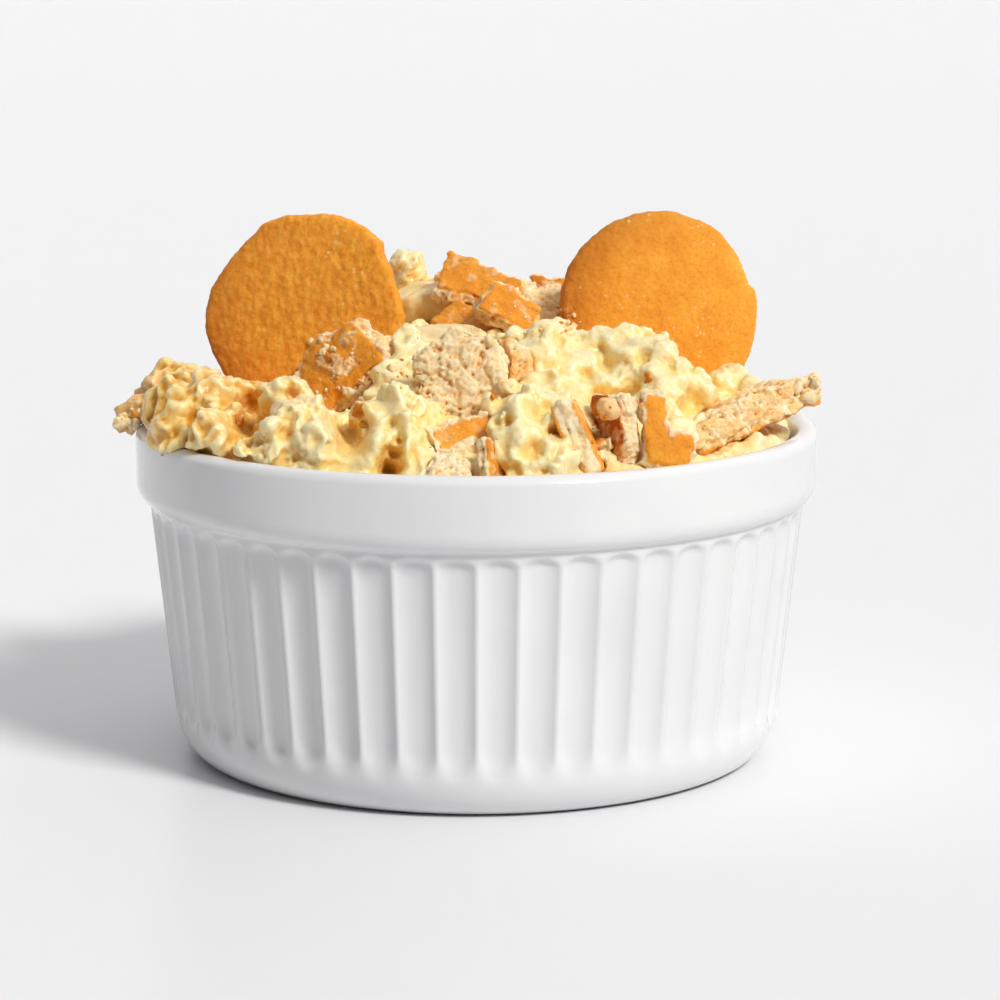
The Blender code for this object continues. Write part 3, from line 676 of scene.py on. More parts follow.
# Lobes, each a row of places as seen on an upright plane at SIGHT_PLANE:
# x, z and radius in millimetres
LOBES = (
    ((-56.9, 71.4, 1.5), (-54.9, 71.9, 1.8), (-52.2, 71.5, 1.8)),
    ((-52.7, 69.6, 2.3), (-53.6, 67.1, 2.2), (-55.9, 65.2, 2.2), (-56.4, 63.7, 1.7)),
    ((-55.9, 61.9, 1.4), (-52.8, 62.2, 1.5), (-48.4, 61.9, 1.4)),
    ((-49.2, 68.4, 1.6), (-47.4, 67.8, 2.4), (-46.1, 65.7, 2.2), (-45.3, 63.7, 1.1)),
    ((-46.8, 70.1, 1.1),),
    ((-49.1, 70.6, 1.6), (-46, 71.6, 2.2), (-43.3, 72.3, 2.2), (-41.3, 71.4, 2.1),
     (-40.2, 70.2, 1.8), (-38.5, 68.9, 1.5)),
    ((-54, 72.2, 1.7), (-51.7, 73.8, 1.9), (-49, 74.0, 2.0), (-46.4, 73.3, 1.9)),
    ((-49.7, 63.9, 1.6), (-47, 62.6, 1.7), (-43.9, 61.7, 1.4)),
    ((-42.1, 65.7, 1.8), (-42.8, 63, 1.6)),
    ((-32.4, 73.0, 1.1), (-33.8, 72.6, 1.7), (-35.1, 71.4, 2.1), (-35.8, 69.6, 2.1)),
    ((-31.8, 71.5, 2), (-30, 68.9, 2.4), (-27.8, 66.3, 2.2), (-25.6, 65.7, 1.6)),
    ((-34.5, 68.4, 2.8), (-32.7, 67.1, 3)),
    ((-37.4, 67.2, 1.6),),
    ((-38.5, 65.7, 1.3),),
    ((-36.2, 64.8, 1.5),),
    ((-35.3, 63, 1.6),),
    ((-38.1, 61.6, 1.6),),
    ((-33.4, 61.6, 1.7),),
    ((-39.8, 61.1, 1.5),),
    ((-36.4, 60.8, 1.5),),
    ((-30.3, 63, 3), (-27, 63, 3), (-24.1, 63, 2.6)),
    ((-29.2, 59.8, 2.4), (-25.7, 59.3, 2.3), (-22.5, 61, 2.3)),
    ((-42.1, 61, 1.2), (-40.4, 60.3, 1)),
    ((-31.4, 65.1, 2.2), (-29.2, 64.6, 2.2)),
    ((-23, 63, 2.3), (-21.7, 60.8, 2.5), (-23.4, 59.2, 2.1), (-20.1, 58.7, 2)),
    ((-20.3, 67.1, 2.2), (-19.3, 64.8, 2.4), (-18.5, 62.1, 2.2), (-18.5, 59.2, 2)),
    ((-22.5, 65.1, 1.8), (-21, 63, 1.8)),
    ((-17.6, 74.6, 1.3), (-15.8, 76, 1.7), (-13.1, 77, 1.6)),
    ((-16.7, 73.4, 2.1), (-16.0, 70.7, 2.4), (-14.8, 68.8, 2.5), (-13.8, 66.5, 2.5),
     (-12.9, 63.8, 2.4), (-12, 61.1, 2.2), (-11, 58.7, 1.9)),
    ((-18, 71.6, 1.9), (-16.8, 68.4, 1.9), (-15.4, 65.7, 1.6)),
    ((-14.3, 63, 1.5), (-13.5, 60.3, 1.7), (-12.2, 58.4, 1.5)),
    ((-13.5, 84, 1.3), (-13, 82.2, 1.6), (-12.6, 80.1, 1.4), (-13.1, 78.5, 1.6)),
    ((-14.4, 78.4, 1.6), (-11.8, 78.5, 1.5)),
    ((6.8, 69.8, 1.9), (8.2, 68.3, 2.3), (6.8, 66.1, 2.5), (6.4, 63, 2.9), (6.4, 59.8, 2.9)),
    ((4.3, 65.7, 1.9), (4.2, 63, 2.1), (3.1, 59.4, 2.2)),
    ((9.5, 64.8, 2.2), (10.1, 61.2, 2.5), (9.6, 58.4, 2.1)),
    ((13.3, 67.8, 1.9), (13.1, 65.5, 2.5), (13.5, 62.5, 2.7), (14, 59.3, 2.5)),
    ((15.8, 63, 2.1), (16.7, 59.3, 2.1)),
    ((14.4, 71.1, 1.8), (15.9, 72, 1.4)),
    ((13.5, 69.3, 1.6), (16.2, 70.5, 1.5)),
    ((6.8, 73.4, 1.7), (9.5, 72.9, 1.8), (12.3, 72.9, 1.6)),
    ((10.4, 71, 1.7), (7.7, 71.4, 1.6)),
    ((13.5, 82.4, 1.3), (13.1, 80.8, 2.2), (12.6, 79.1, 2.4), (11.3, 77.3, 2.3),
     (9.9, 76.4, 1.9)),
    ((15, 81.8, 1.4), (15, 80.2, 1.8)),
    ((9.6, 78.6, 1.6),),
    ((14.4, 78.7, 1.6), (16.6, 80, 1.7), (18.4, 79.6, 1.9)),
    ((15.7, 77.3, 2.2), (17, 75.1, 2.1), (19.7, 76, 1.9)),
    ((12.1, 75.1, 1.2),),
    ((13.5, 75.3, 1.1),),
    ((12.6, 74, 1),),
    ((22.6, 79.2, 1.4), (24.0, 80.0, 1.7), (25.6, 80.7, 2.0), (27.6, 80.8, 2.0),
     (29.0, 80.0, 1.6), (30.0, 78.4, 1.8), (31.9, 77.6, 1.2)),
    ((20.1, 77.6, 1.1), (22.3, 78.7, 1.3), (25, 79.4, 1.5), (27.6, 80, 1.7)),
    ((15.7, 80.4, 1.7), (17.5, 80, 2.1), (20.1, 79.8, 1.9), (22.8, 80.4, 1.7)),
    ((25.9, 77.3, 3.3), (29.4, 77.4, 3.3), (32.5, 77.4, 3.1)),
    ((33.8, 75.9, 2.0), (35.3, 75.0, 1.8)),
    ((25, 74.3, 2.9), (28.1, 74.2, 3.1), (31.7, 73.7, 3.5), (34.8, 73.3, 3.1)),
    ((36.1, 73.9, 1.2), (36.4, 72.8, 2.2)),
    ((32.6, 71, 3.3), (34.4, 70.1, 2.4)),
    ((21.5, 73.3, 2.1), (22.9, 71.5, 1.9), (25.3, 71.5, 1.9)),
    ((17.5, 76.9, 2.3), (16.1, 75.1, 2.3)),
    ((19, 74.7, 1.5), (20.1, 76.1, 1.3)),
    ((39.2, 72.9, 1.2), (37.9, 72.4, 1.9)),
    ((39.7, 71.4, 2.1), (41.5, 70.2, 2.3), (42.9, 69.0, 2.2), (41.5, 68.0, 2.4),
     (39.8, 67.9, 2.5), (38.9, 66.5, 1.9)),
    ((37, 72, 1.8), (37.9, 69.8, 2.2)),
    ((34.9, 67, 2.1), (36.7, 66.1, 2.3), (37.7, 63.9, 2.3), (37.2, 61.1, 2.1), (36.3, 59.4, 1.5)),
    ((48.7, 62, 1.8), (51.8, 62, 1.9)),
    ((14.9, 63, 2.2), (15.8, 60.3, 2)),
    ((15.7, 68.4, 1.9), (15.3, 65.7, 2)),
    ((21.6, 59, 1.6), (19.8, 58.5, 1.5)),
)
# Great masses under the lobes: x and z as seen, and radius in millimetres
MASSES = (
    (-54.1, 68.1, 5), (-49.6, 65.9, 5.2), (-45.2, 69.5, 4.4), (-46.4, 64.8, 4.4),
    (-49.8, 71.6, 4), (-56.3, 64.5, 3.6), (-34.6, 70.6, 3.8), (-33.2, 67.5, 4.8),
    (-31.1, 63.8, 5.2), (-36.1, 63, 4.8), (-26.8, 61.8, 4.4), (-28.6, 65.9, 4),
    (-38.2, 61.6, 3.8), (-15.2, 72.4, 3.8), (-14.1, 67.9, 4.3), (-13.8, 63, 3.8),
    (-12.8, 59.6, 3.2), (-19.7, 65.2, 3.4), (-18.8, 60.9, 3.8), (-24, 60.9, 3.6),
    (6.3, 65.2, 4.2), (6.9, 60.1, 4.4), (13.3, 63.4, 4.8), (14.2, 59.4, 4.4),
    (3.5, 61.6, 3.4), (15.9, 60.9, 3.8), (12.7, 80.1, 3.8), (11.1, 76.3, 4.2),
    (15.2, 77.4, 4), (9.1, 73.5, 3.4), (13.4, 71.7, 3.6), (26.5, 77.8, 4.4),
    (22.1, 78.5, 4.4), (27.9, 75.3, 5.8), (33.0, 73.6, 4.8), (30.8, 72.4, 4.8),
    (37.9, 70.0, 4.2), (40.8, 68.4, 4.0), (19.1, 75.6, 4), (42.6, 68.1, 3.8),
    (37.3, 65.2, 3.8), (38, 62.3, 3.6), (47.8, 63.4, 3),
)

# Hollows in the heap: x and z as seen, then radius and depth in millimetres
HOLLOWS = (
    (-15.6, 58.9, 2.0, 9.0), (-14.7, 61.4, 1.3, 7.0), (-13.9, 63.4, 0.9, 4.0), (-22.1, 67.0, 3.2, 6.0),
    (-25.5, 67.6, 2.2, 4.0), (-41.2, 65.7, 2.6, 4.5), (-38.1, 68.8, 2.0, 3.5),
    (-44.5, 68.4, 1.6, 2.0), (-32.4, 71.2, 1.6, 2.0), (24.1, 63.0, 2.8, 7.0),
    (22.3, 69.9, 2.4, 6.0), (25.9, 70.2, 2.0, 4.0), (37.9, 69.3, 2.2, 3.5),
    (5.1, 65.7, 1.8, 1.6), (5.4, 62.6, 1.6, 1.4), (-16.6, 71.1, 1.8, 2.6),
    (-14.5, 65.7, 1.8, 2.6), (12.1, 74.6, 1.6, 2.6), (19.3, 74.7, 1.4, 1.8),
    (12.0, 69.2, 1.5, 2.0), (29.6, 77.2, 1.4, 1.6), (34.6, 75.2, 1.4, 1.6),
    (17.0, 72.0, 1.6, 2.2), (14.2, 64.6, 1.6, 2.6), (9.6, 61.2, 1.6, 2.6),
    (-50.8, 66.8, 1.4, 1.8), (-28.8, 63.6, 1.5, 2.2), (-23.4, 62.4, 1.5, 2.4),
    (-34.4, 64.8, 1.4, 1.8), (22.6, 79.0, 1.3, 1.4),
    (-40.1, 66.6, 2.8, 6), (-40.8, 69.9, 2.2, 4), (-39.3, 63, 2.2, 4), (-22.5, 63, 2.6, 5),
    (-22.2, 65.9, 2.8, 6), (-23.4, 68.4, 2.2, 4),
)
BACK_LOBES = 90
BACK_SEED = 8
KNOB_FOOT = 85.0


def cream_profile(height):
    """Inside radius of the dish at a height."""
    if height < BAND_BOTTOM:
        return INSIDE_TOP_RADIUS
    share = min(1.0, (height - BAND_BOTTOM) / (DISH_HEIGHT - 2.1 - BAND_BOTTOM))
    return INSIDE_TOP_RADIUS + share * (RIM_INNER - INSIDE_TOP_RADIUS)


def clear_of_dish(points):
    """Points moved out of the dish's wall and rim."""
    radius = np.hypot(points[:, 0], points[:, 1])
    height = points[:, 2]
    limit = np.array([cream_profile(h) for h in height]) - 0.12
    crest = DISH_HEIGHT - 2.1
    target = radius.copy()
    low = height < crest
    inner = low & (radius < CREST_RADIUS)
    target[inner] = np.minimum(radius[inner], limit[inner])
    outer = low & (radius >= CREST_RADIUS) & (radius < RIM_RADIUS + 0.15)
    lift = np.zeros(len(points))
    lift[outer] = (crest + 0.02 - height)[outer]
    target[outer] = RIM_RADIUS + 0.15
    across = (radius - CREST_RADIUS) / 2.15
    rise = (height - crest) / 2.25
    reach = np.hypot(across, rise)
    in_rim = (~low) & (reach < 1.0)
    scale = 1.0 / np.maximum(reach, 0.05)
    target[in_rim] = CREST_RADIUS + (radius - CREST_RADIUS)[in_rim] * scale[in_rim]
    lift[in_rim] = (height - crest)[in_rim] * (scale[in_rim] - 1.0)
    moved = points.copy()
    grow = target / np.maximum(radius, 1e-6)
    moved[:, 0] *= grow
    moved[:, 1] *= grow
    moved[:, 2] += lift
    return moved


def heap_cap():
    """Upper part of the pudding's solid as a closed mesh."""
    work = welded("pudding")
    everything = work.verts[:] + work.edges[:] + work.faces[:]
    cut = bmesh.ops.bisect_plane(work, geom=everything, dist=1e-5,
                                 plane_co=(0, 0, HEAP_CUT), plane_no=(0, 0, -1),
                                 clear_outer=True)
    edges = [item for item in cut["geom_cut"] if isinstance(item, bmesh.types.BMEdge)]
    bmesh.ops.contextual_create(work, geom=edges)
    mesh = bpy.data.meshes.new("heap_cap")
    work.to_mesh(mesh)
    work.free()
    return mesh


def in_spill(points):
    """Whether places belong to the lumps that hang over the rim on the left."""
    return (points[:, 0] < -54.0) & (points[:, 1] < 12.0) & (points[:, 1] > -8.0)


def seen_at(tree, x, z, depth):
    """Place that the eye sees through a place on the upright plane."""
    way = (Vector((x, SIGHT_PLANE, z)) - EYE).normalized()
    hit = tree.ray_cast(EYE, way)[0]
    if hit is None:
        reach = (depth - EYE.y) / way.y
        hit = EYE + way * reach
    return hit, way


def front_lobes(tree):
    """Balls along the lobes that the front shows."""
    places = []
    radii = []
    for lobe in LOBES:
        depth = -20.0
        for start, end in zip(lobe, lobe[1:] + lobe[-1:]):
            apart = math.hypot(end[0] - start[0], end[1] - start[1])
            steps = max(1, math.ceil(apart / (0.45 * start[2])))
            for step in range(steps):
                share = step / steps
                x, z, radius = (s + (e - s) * share for s, e in zip(start, end))
                hit, way = seen_at(tree, x, z, depth)
                depth = hit.y
                places.append(hit + way * 0.4 * radius)
                radii.append(radius)
    return places, radii


def masses(tree):
    """Great balls half sunk in the heap, under the lobes of the front."""
    places = []
    for x, z, radius in MASSES:
        hit, way = seen_at(tree, x, z, -30.0)
        place = hit + way * 0.55 * radius
        reach = math.hypot(place.x, place.y)
        if reach > MASS_REACH:
            place.x *= MASS_REACH / reach
            place.y *= MASS_REACH / reach
        places.append(place)
    return places, [mass[2] for mass in MASSES]


def back_lobes(tree, cap):
    """Seeded rows of balls that wander over the sides and the back."""
    chance = np.random.default_rng(BACK_SEED)
    points, triangles = arrays_of(cap)

    def keep(middles, normals):
        radius = np.hypot(middles[:, 0], middles[:, 1])
        behind = (middles[:, 1] > 4.0) | (np.abs(middles[:, 0]) > 50.0)
        return behind * (middles[:, 2] > 60.0) * (normals[:, 2] > 0.0) * (radius < 54.0)

    starts = spread_over(points, triangles, BACK_LOBES, chance, keep)[0]
    places = []
    radii = []
    for start in starts:
        radius = chance.uniform(2.0, 3.4)
        turn = chance.uniform(0.0, 2.0 * math.pi)
        place = Vector(start)
        for step in range(chance.integers(3, 9)):
            found = tree.find_nearest(place)
            if math.hypot(found[0].x, found[0].y) > 55.5 or found[0].z > KNOB_FOOT:
                break
            places.append(found[0] - found[1] * 0.25 * radius)
            radii.append(radius)
            turn += chance.uniform(-0.6, 0.6)
            place = found[0] + Vector((math.cos(turn), math.sin(turn), 0.0)) * 0.7 * radius
            radius *= chance.uniform(0.86, 1.02)
    return places, radii


def curds(cap, pieces_tree):
    """Seeded places and sizes of the small curds, in patches clear of the pieces."""
    chance = np.random.default_rng(CURD_SEED)
    points, triangles = arrays_of(cap)

    def keep(middles, normals):
        radius = np.hypot(middles[:, 0], middles[:, 1])
        inside = (radius < 56.6) | in_spill(middles)
        patchy = smoothstep(-0.05, 0.35, field(middles, 9.0, 1, (5.0, 2.0, 1.0))) + 0.06
        level = (middles[:, 2] > 58.5) & (middles[:, 2] < KNOB_FOOT)
        return level * inside * (normals[:, 2] > -0.35) * patchy

    places, normals = spread_over(points, triangles, CURD_COUNT, chance, keep)
    radii = 0.75 + 1.1 * chance.uniform(size=CURD_COUNT) ** 2
    places = places + normals * (radii * chance.uniform(0.0, 0.9, CURD_COUNT))[:, None]
    clear = [(Vector(place), radius) for place, radius in zip(places, radii)
             if pieces_tree.find_nearest(Vector(place))[3] > 0.85 * radius]
    return [place for place, radius in clear], [radius for place, radius in clear]


def ridged(points, size, shift):
    """Noise with sharp crests, about -1 to 1."""
    return 1.0 - 3.2 * np.abs(field(points, size, 1, shift))


def folded(points):
    """Relief of torn and folded cream, in millimetres."""
    drift = np.stack([field(points, 7.0, 1, (k * 5.0, 1.0, k * 2.0)) for k in range(3)], axis=1)
    drifted = points + 4.0 * drift
    broad = ridged(drifted, 7.0, (3.0, 7.0, 1.0))
    middle = ridged(drifted, 3.4, (8.0, 2.0, 4.0))
    crisp = ridged(drifted, 1.8, (1.0, 6.0, 9.0))
    torn = smoothstep(-0.15, 0.30, field(points, 8.0, 1, (6.0, 3.0, 8.0)))
    return 0.85 * broad + (0.50 + 0.50 * torn) * middle + (0.22 + 0.34 * torn) * crisp


def thinned(mesh, most):
    """Mesh brought under a number of triangles where it is flattest."""
    mesh.calc_loop_triangles()
    count = len(mesh.loop_triangles)
    if count <= most:
        return mesh
    name = mesh.name
    return applied(name, mesh, [("TRIANGULATE", {}), ("DECIMATE", {"ratio": most / count})])


def hollowed(mesh):
    """Press the hollows into the heap, away from the eye."""
    tree = tree_of([mesh])
    points = points_of(mesh)
    for x, z, radius, depth in HOLLOWS:
        hit, way = seen_at(tree, x, z, -30.0)
        offset = points - np.array(hit)
        along = offset @ np.array(way)
        across = np.linalg.norm(offset - along[:, None] * np.array(way), axis=1)
        near = smoothstep(-3.0 * radius, -1.5 * radius, along)
        near = near * (1.0 - smoothstep(2.0 * radius, 5.0 * radius, along))
        pressed = depth * near * np.exp(-(across / radius) ** 2.6)
        points += pressed[:, None] * np.array((way.x, way.y, -0.35))
    set_points(mesh, points)


def relief_of(mesh, rounds):
    """How far each vertex stands out from the smoothed surface."""
    soft = applied("soft", mesh.copy(), [("SMOOTH", {"factor": 0.5, "iterations": rounds})])
    return ((points_of(mesh) - points_of(soft)) * normals_of(mesh)).sum(axis=1)


def make_pudding(pieces, material):
    cap = heap_cap()
    cap_tree = tree_of([cap])
    pieces_tree = tree_of(pieces)
    places, radii = masses(cap_tree)
    balls = scattered_balls(places, radii, MASS_SEED, 2, 0.2, 0.06)
    cap_tree = tree_of([cap, raw_mesh("masses", *balls)])
    for found, sizes in (front_lobes(cap_tree), back_lobes(cap_tree, cap),
                         curds(cap, pieces_tree)):
        places += found
        radii += sizes
    kept_places = []
    kept_radii = []
    for place, radius in zip(places, radii):
        away = pieces_tree.find_nearest(place)[3]
        radius = min(radius, (away + 0.2) / 0.85)
        if radius > 0.6:
            kept_places.append(np.array(place))
            kept_radii.append(radius)
    balls = scattered_balls(kept_places, kept_radii, CURD_SEED, 2, 0.26, 0.18)
    cap_points, cap_triangles = arrays_of(cap)
    points = np.concatenate([cap_points, balls[0]])
    triangles = np.concatenate([cap_triangles, balls[1] + len(cap_points)])
    rough = raw_mesh("heap_rough", points, triangles)
    mesh = remeshed("heap_folds", rough, FIRST_VOXEL, rounds=MELT_ROUNDS)
    points = points_of(mesh)
    top = smoothstep(55.0, 59.0, points[:, 2])
    calm = 1.0 - 0.35 * smoothstep(-4.0, 18.0, points[:, 0])
    moved = top * calm * (folded(points) - FOLD_MEAN) + 0.1
    set_points(mesh, points + normals_of(mesh) * moved[:, None])
    hollowed(mesh)
    mesh = remeshed("pudding_heap", mesh, VOXEL, rounds=1)
    points = points_of(mesh)
    top = smoothstep(55.0, 59.0, points[:, 2])
    rough = smoothstep(-0.1, 0.4, field(points, 6.0, 1, (9.0, 4.0, 2.0)))
    crumpled = ridged(points, 1.5, (4.0, 4.0, 4.0))
    moved = top * (0.10 * field(points, 1.1, 2, (1.0, 2.0, 3.0)) + 0.26 * rough * crumpled)
    points = points + normals_of(mesh) * moved[:, None]
    set_points(mesh, clear_of_dish(points))
    trim_bottom(mesh)
    mesh = thinned(mesh, MOST_TRIANGLES)
    # How much sky each vertex sees, stored to paint shade into the cream's sheltered hollows
    seen = shelter(mesh, tree_of(pieces + [mesh]), 7.0)
    paint(mesh, "seen", seen)
    # Crest or crease of each vertex, stored to paint shade into the creases and to place the painted
    # shade on the left
    paint(mesh, "fold", smoothstep(-0.7, 0.7, relief_of(mesh, 14)))
    points = points_of(mesh)
    # Share of painted shade on the left of the heap, the side away from the key light
    paint(mesh, "left_shade", 1.0 - smoothstep(-56.0, -10.0, points[:, 0] - 0.25 * points[:, 1]))
    paint(mesh, "tan", 1.0 - smoothstep(-64.0, -57.5, points[:, 0] - 0.10 * points[:, 1]))
    pieces.append(mesh.copy())
    return add_piece("pudding_heap", mesh, ["pudding"], material)


# Groups of flakes and of crumbs: x and z as seen on the upright plane, half
# width and half height of the group, how many, least and greatest radius in
# millimetres, and the share that is crust
FLAKES = (
    (-21.0, 66.6, 2.4, 3.4, 5, 1.0, 1.7, 0.3), (-15.4, 76.2, 1.6, 2.4, 2, 0.8, 1.3, 0.3),
    (4.8, 69.6, 1.3, 4.2, 2, 1.0, 1.5, 0.3), (-42.2, 66.8, 1.0, 1.4, 2, 1.0, 1.3, 1.0),
    (23.2, 63.0, 1.6, 3.2, 3, 0.9, 1.4, 0.3), (58.6, 72.4, 1.8, 2.0, 6, 1.1, 2.0, 0.05),
    (-61.0, 66.6, 2.6, 2.4, 7, 0.9, 1.6, 0.1), (16.4, 84.4, 1.2, 2.0, 4, 0.7, 1.3, 0.2),
    (-27.4, 79.4, 3.0, 2.6, 6, 0.7, 1.3, 0.1), (-21.0, 71.0, 2.0, 2.0, 2, 0.8, 1.3, 0.1),
    (-10.2, 73.0, 0.8, 5.0, 4, 0.9, 1.4, 0.1), (30.4, 73.8, 0.5, 0.4, 1, 0.9, 0.9, 1.0),
)
FINE_CRUMBS = (
    (-24.0, 73.0, 5.0, 7.0, 26, 0.2, 0.5, 0.1), (-15.0, 76.0, 3.0, 3.6, 10, 0.2, 0.5, 0.2),
    (-3.0, 74.0, 7.6, 7.4, 12, 0.2, 0.5, 0.1), (16.4, 84.2, 2.0, 3.0, 18, 0.2, 0.6, 0.1),
    (-61.0, 66.6, 3.4, 2.8, 18, 0.25, 0.7, 0.1), (23.4, 64.6, 3.4, 5.6, 20, 0.2, 0.6, 0.4),
    (55.0, 70.0, 6.0, 4.0, 16, 0.2, 0.6, 0.1), (4.0, 84.0, 8.0, 4.0, 24, 0.2, 0.5, 0.1),
    (46.0, 66.0, 6.0, 4.5, 8, 0.2, 0.5, 0.1),
)
STREWN = 130
FLAKE_SEED = 12
CRUMB_SEED = 34


def strewn_in(tree, groups, chance):
    """Places, ways up, sizes and kinds of the crumbs of groups, where the eye sees them."""
    found = []
    for x, z, width, height, count, least, most, crust in groups:
        for number in range(count):
            reach = math.sqrt(chance.uniform())
            turn = chance.uniform(0.0, 2.0 * math.pi)
            size = least + (most - least) * chance.uniform() ** 2
            way = (Vector((x + width * reach * math.cos(turn), SIGHT_PLANE,
                           z + height * reach * math.sin(turn))) - EYE).normalized()
            hit, normal = tree.ray_cast(EYE, way)[:2]
            crusty = chance.uniform() < crust
            if hit is not None:
                found.append((hit + 0.15 * size * normal, normal, size, crusty))
    return found


def strewn_over(meshes, wafers, count, chance):
    """Loose crumbs all round, most of them close to the wafers."""
    found = []
    for mesh in meshes:
        points, triangles = arrays_of(mesh)

        def keep(middles, normals):
            return (normals[:, 2] > 0.15) * (middles[:, 2] > 61.0)

        places, normals = spread_over(points, triangles, 12 * count, chance, keep)
        chances = chance.uniform(size=len(places))
        for place, normal, luck in zip(places, normals, chances):
            away = wafers.find_nearest(Vector(place))[3]
            if luck > 0.5 * math.exp(-away / 2.2) + 0.02:
                continue
            size = 0.22 + 0.5 * chance.uniform() ** 3
            found.append((Vector(place), Vector(normal), size, chance.uniform() < 0.35))
            if len(found) >= count:
                break
    return found


def chunks(name, found, rounds, chance):
    """One mesh of angular chunks, painted with crust where they have some."""
    ball, triangles = unit_ball(rounds)
    all_points = []
    all_crust = []
    for place, normal, size, crusty in found:
        planes = chance.normal(size=(10, 3))
        planes /= np.linalg.norm(planes, axis=1)[:, None]
        cut = np.maximum(ball @ planes.T, 0.02)
        reach = np.minimum(chance.uniform(0.55, 1.0, 10) / cut, 1.1).min(axis=1)
        shape = ball * reach[:, None] * (1.2, chance.uniform(0.75, 1.1),
                                         chance.uniform(0.5, 0.9))
        out = np.array(normal) + 0.45 * chance.normal(size=3)
        out /= np.linalg.norm(out)
        side = np.cross(out, chance.normal(size=3))
        side /= np.linalg.norm(side)
        turned = shape @ np.stack([side, np.cross(out, side), out])
        all_points.append(turned * size + np.array(place))
        level = smoothstep(0.05, 0.35, shape[:, 2])
        all_crust.append(level if crusty and size > 1.0 else np.full(len(ball), float(crusty)))
    count = len(ball)
    faces = np.concatenate([triangles + number * count for number in range(len(found))])
    points = np.concatenate(all_points)
    mesh = raw_mesh(name, points, faces)
    if rounds > 1:
        rough = 0.26 * field(points, 1.0, 2) + 0.10 * ridged(points, 0.8, (2.0, 1.0, 3.0))
        set_points(mesh, points + normals_of(mesh) * rough[:, None])
    crust = np.concatenate(all_crust)
    paint(mesh, "crust", crust)
    paint(mesh, "under", np.zeros(len(points)))
    paint(mesh, "edge", 0.7 + 0.5 * smoothstep(-0.2, 0.5, field(points, 1.4, 1, (3.0, 1.0, 2.0))))
    paint(mesh, "hollow", 0.6 * smoothstep(0.1, 0.6, field(points, 0.9, 1, (1.0, 5.0, 2.0))))
    return mesh


def make_crumbs(pieces, material):
    """Flakes and crumbs of wafer that lie on the heap and on the pieces."""
    tree = tree_of(pieces)
    wafers = tree_of([mesh for mesh in pieces if mesh.name.startswith("broken_wafer")])
    chance = np.random.default_rng(FLAKE_SEED)
    flakes = chunks("wafer_flakes", strewn_in(tree, FLAKES, chance), 3, chance)
    add_piece("wafer_flakes", flakes, [], material)
    chance = np.random.default_rng(CRUMB_SEED)
    found = strewn_in(tree, FINE_CRUMBS, chance)
    found += strewn_over([pieces[-1]], wafers, STREWN, chance)
    crumbs = chunks("wafer_crumbs", found, 1, chance)
    add_piece("wafer_crumbs", crumbs, [], material, smooth=False)


def trim_bottom(mesh):
    """Take the hidden flat bottom down to one face."""
    work = bmesh.new()
    work.from_mesh(mesh)
    flat = [f for f in work.faces if f.normal.z < -0.9 and f.calc_center_median().z < 54.0]
    bmesh.ops.dissolve_faces(work, faces=flat)
    bmesh.ops.triangulate(work, faces=[f for f in work.faces if len(f.verts) > 4])
    work.to_mesh(mesh)
    work.free()


def make_pudding_below(material):
    """Part of the pudding that the dish hides, down to the floor."""
    outline = [(0.0, FLOOR_THICKNESS + 0.3)]
    corner = (INSIDE_BOTTOM_RADIUS - INSIDE_CORNER, FLOOR_THICKNESS + INSIDE_CORNER)
    reach = INSIDE_CORNER - 0.3
    outline += ellipse(corner, (reach, reach), -90, 0, 6)
    outline += [(54.6, 30.0), (57.1, BAND_BOTTOM), (57.4, HEAP_CUT - 0.2)]
    outline.append((0.0, HEAP_CUT - 0.2))
    steps = 96
    points = [(0.0, 0.0, outline[0][1])]
    for radius, height in outline[1:-1]:
        for step in range(steps):
            angle = 2.0 * math.pi * step / steps
            points.append((radius * math.cos(angle), radius * math.sin(angle), height))
    points.append((0.0, 0.0, outline[-1][1]))
    rings = len(outline) - 2
    faces = []
    for step in range(steps):
        after = (step + 1) % steps
        faces.append((0, 1 + after, 1 + step))
        for ring in range(rings - 1):
            low = 1 + ring * steps
            high = low + steps
            faces.append((low + step, low + after, high + after, high + step))
        last = 1 + (rings - 1) * steps
        faces.append((last + step, last + after, len(points) - 1))
    mesh = new_mesh("pudding_below", points, faces)
    paint(mesh, "seen", np.full(len(points), 0.5))
    paint(mesh, "fold", np.full(len(points), 0.5))
    paint(mesh, "left_shade", np.zeros(len(points)))
    paint(mesh, "tan", np.zeros(len(points)))
    return add_piece("pudding_below", mesh, [], material)


# Materials

def new_material(name):
    """Principled material, its shader and a helper that adds nodes."""
    material = bpy.data.materials.new(name)
    material.use_nodes = True
    tree = material.node_tree
    shader = tree.nodes["Principled BSDF"]

    def node(kind, **settings):
        added = tree.nodes.new(kind)
        for key, value in settings.items():
            setattr(added, key, value)
        return added

    return material, tree, shader, node


def link(tree, output, target):
    tree.links.new(output, target)


def noise_of(tree, node, place, scale, detail=3.0, rough=0.55):
    """Noise of features 1/scale metres across, in the piece's own space."""
    made = node("ShaderNodeTexNoise")
    made.inputs["Scale"].default_value = scale
    made.inputs["Detail"].default_value = detail
    made.inputs["Roughness"].default_value = rough
    link(tree, place, made.inputs["Vector"])
    return made.outputs["Fac"]


def ramp(tree, node, value, stops):
    made = node("ShaderNodeValToRGB")
    elements = made.color_ramp.elements
    while len(elements) < len(stops):
        elements.new(0.5)
    for element, (position, colour) in zip(elements, stops):
        element.position = position
        element.color = (*colour, 1.0)
    link(tree, value, made.inputs["Fac"])
    return made.outputs["Color"]


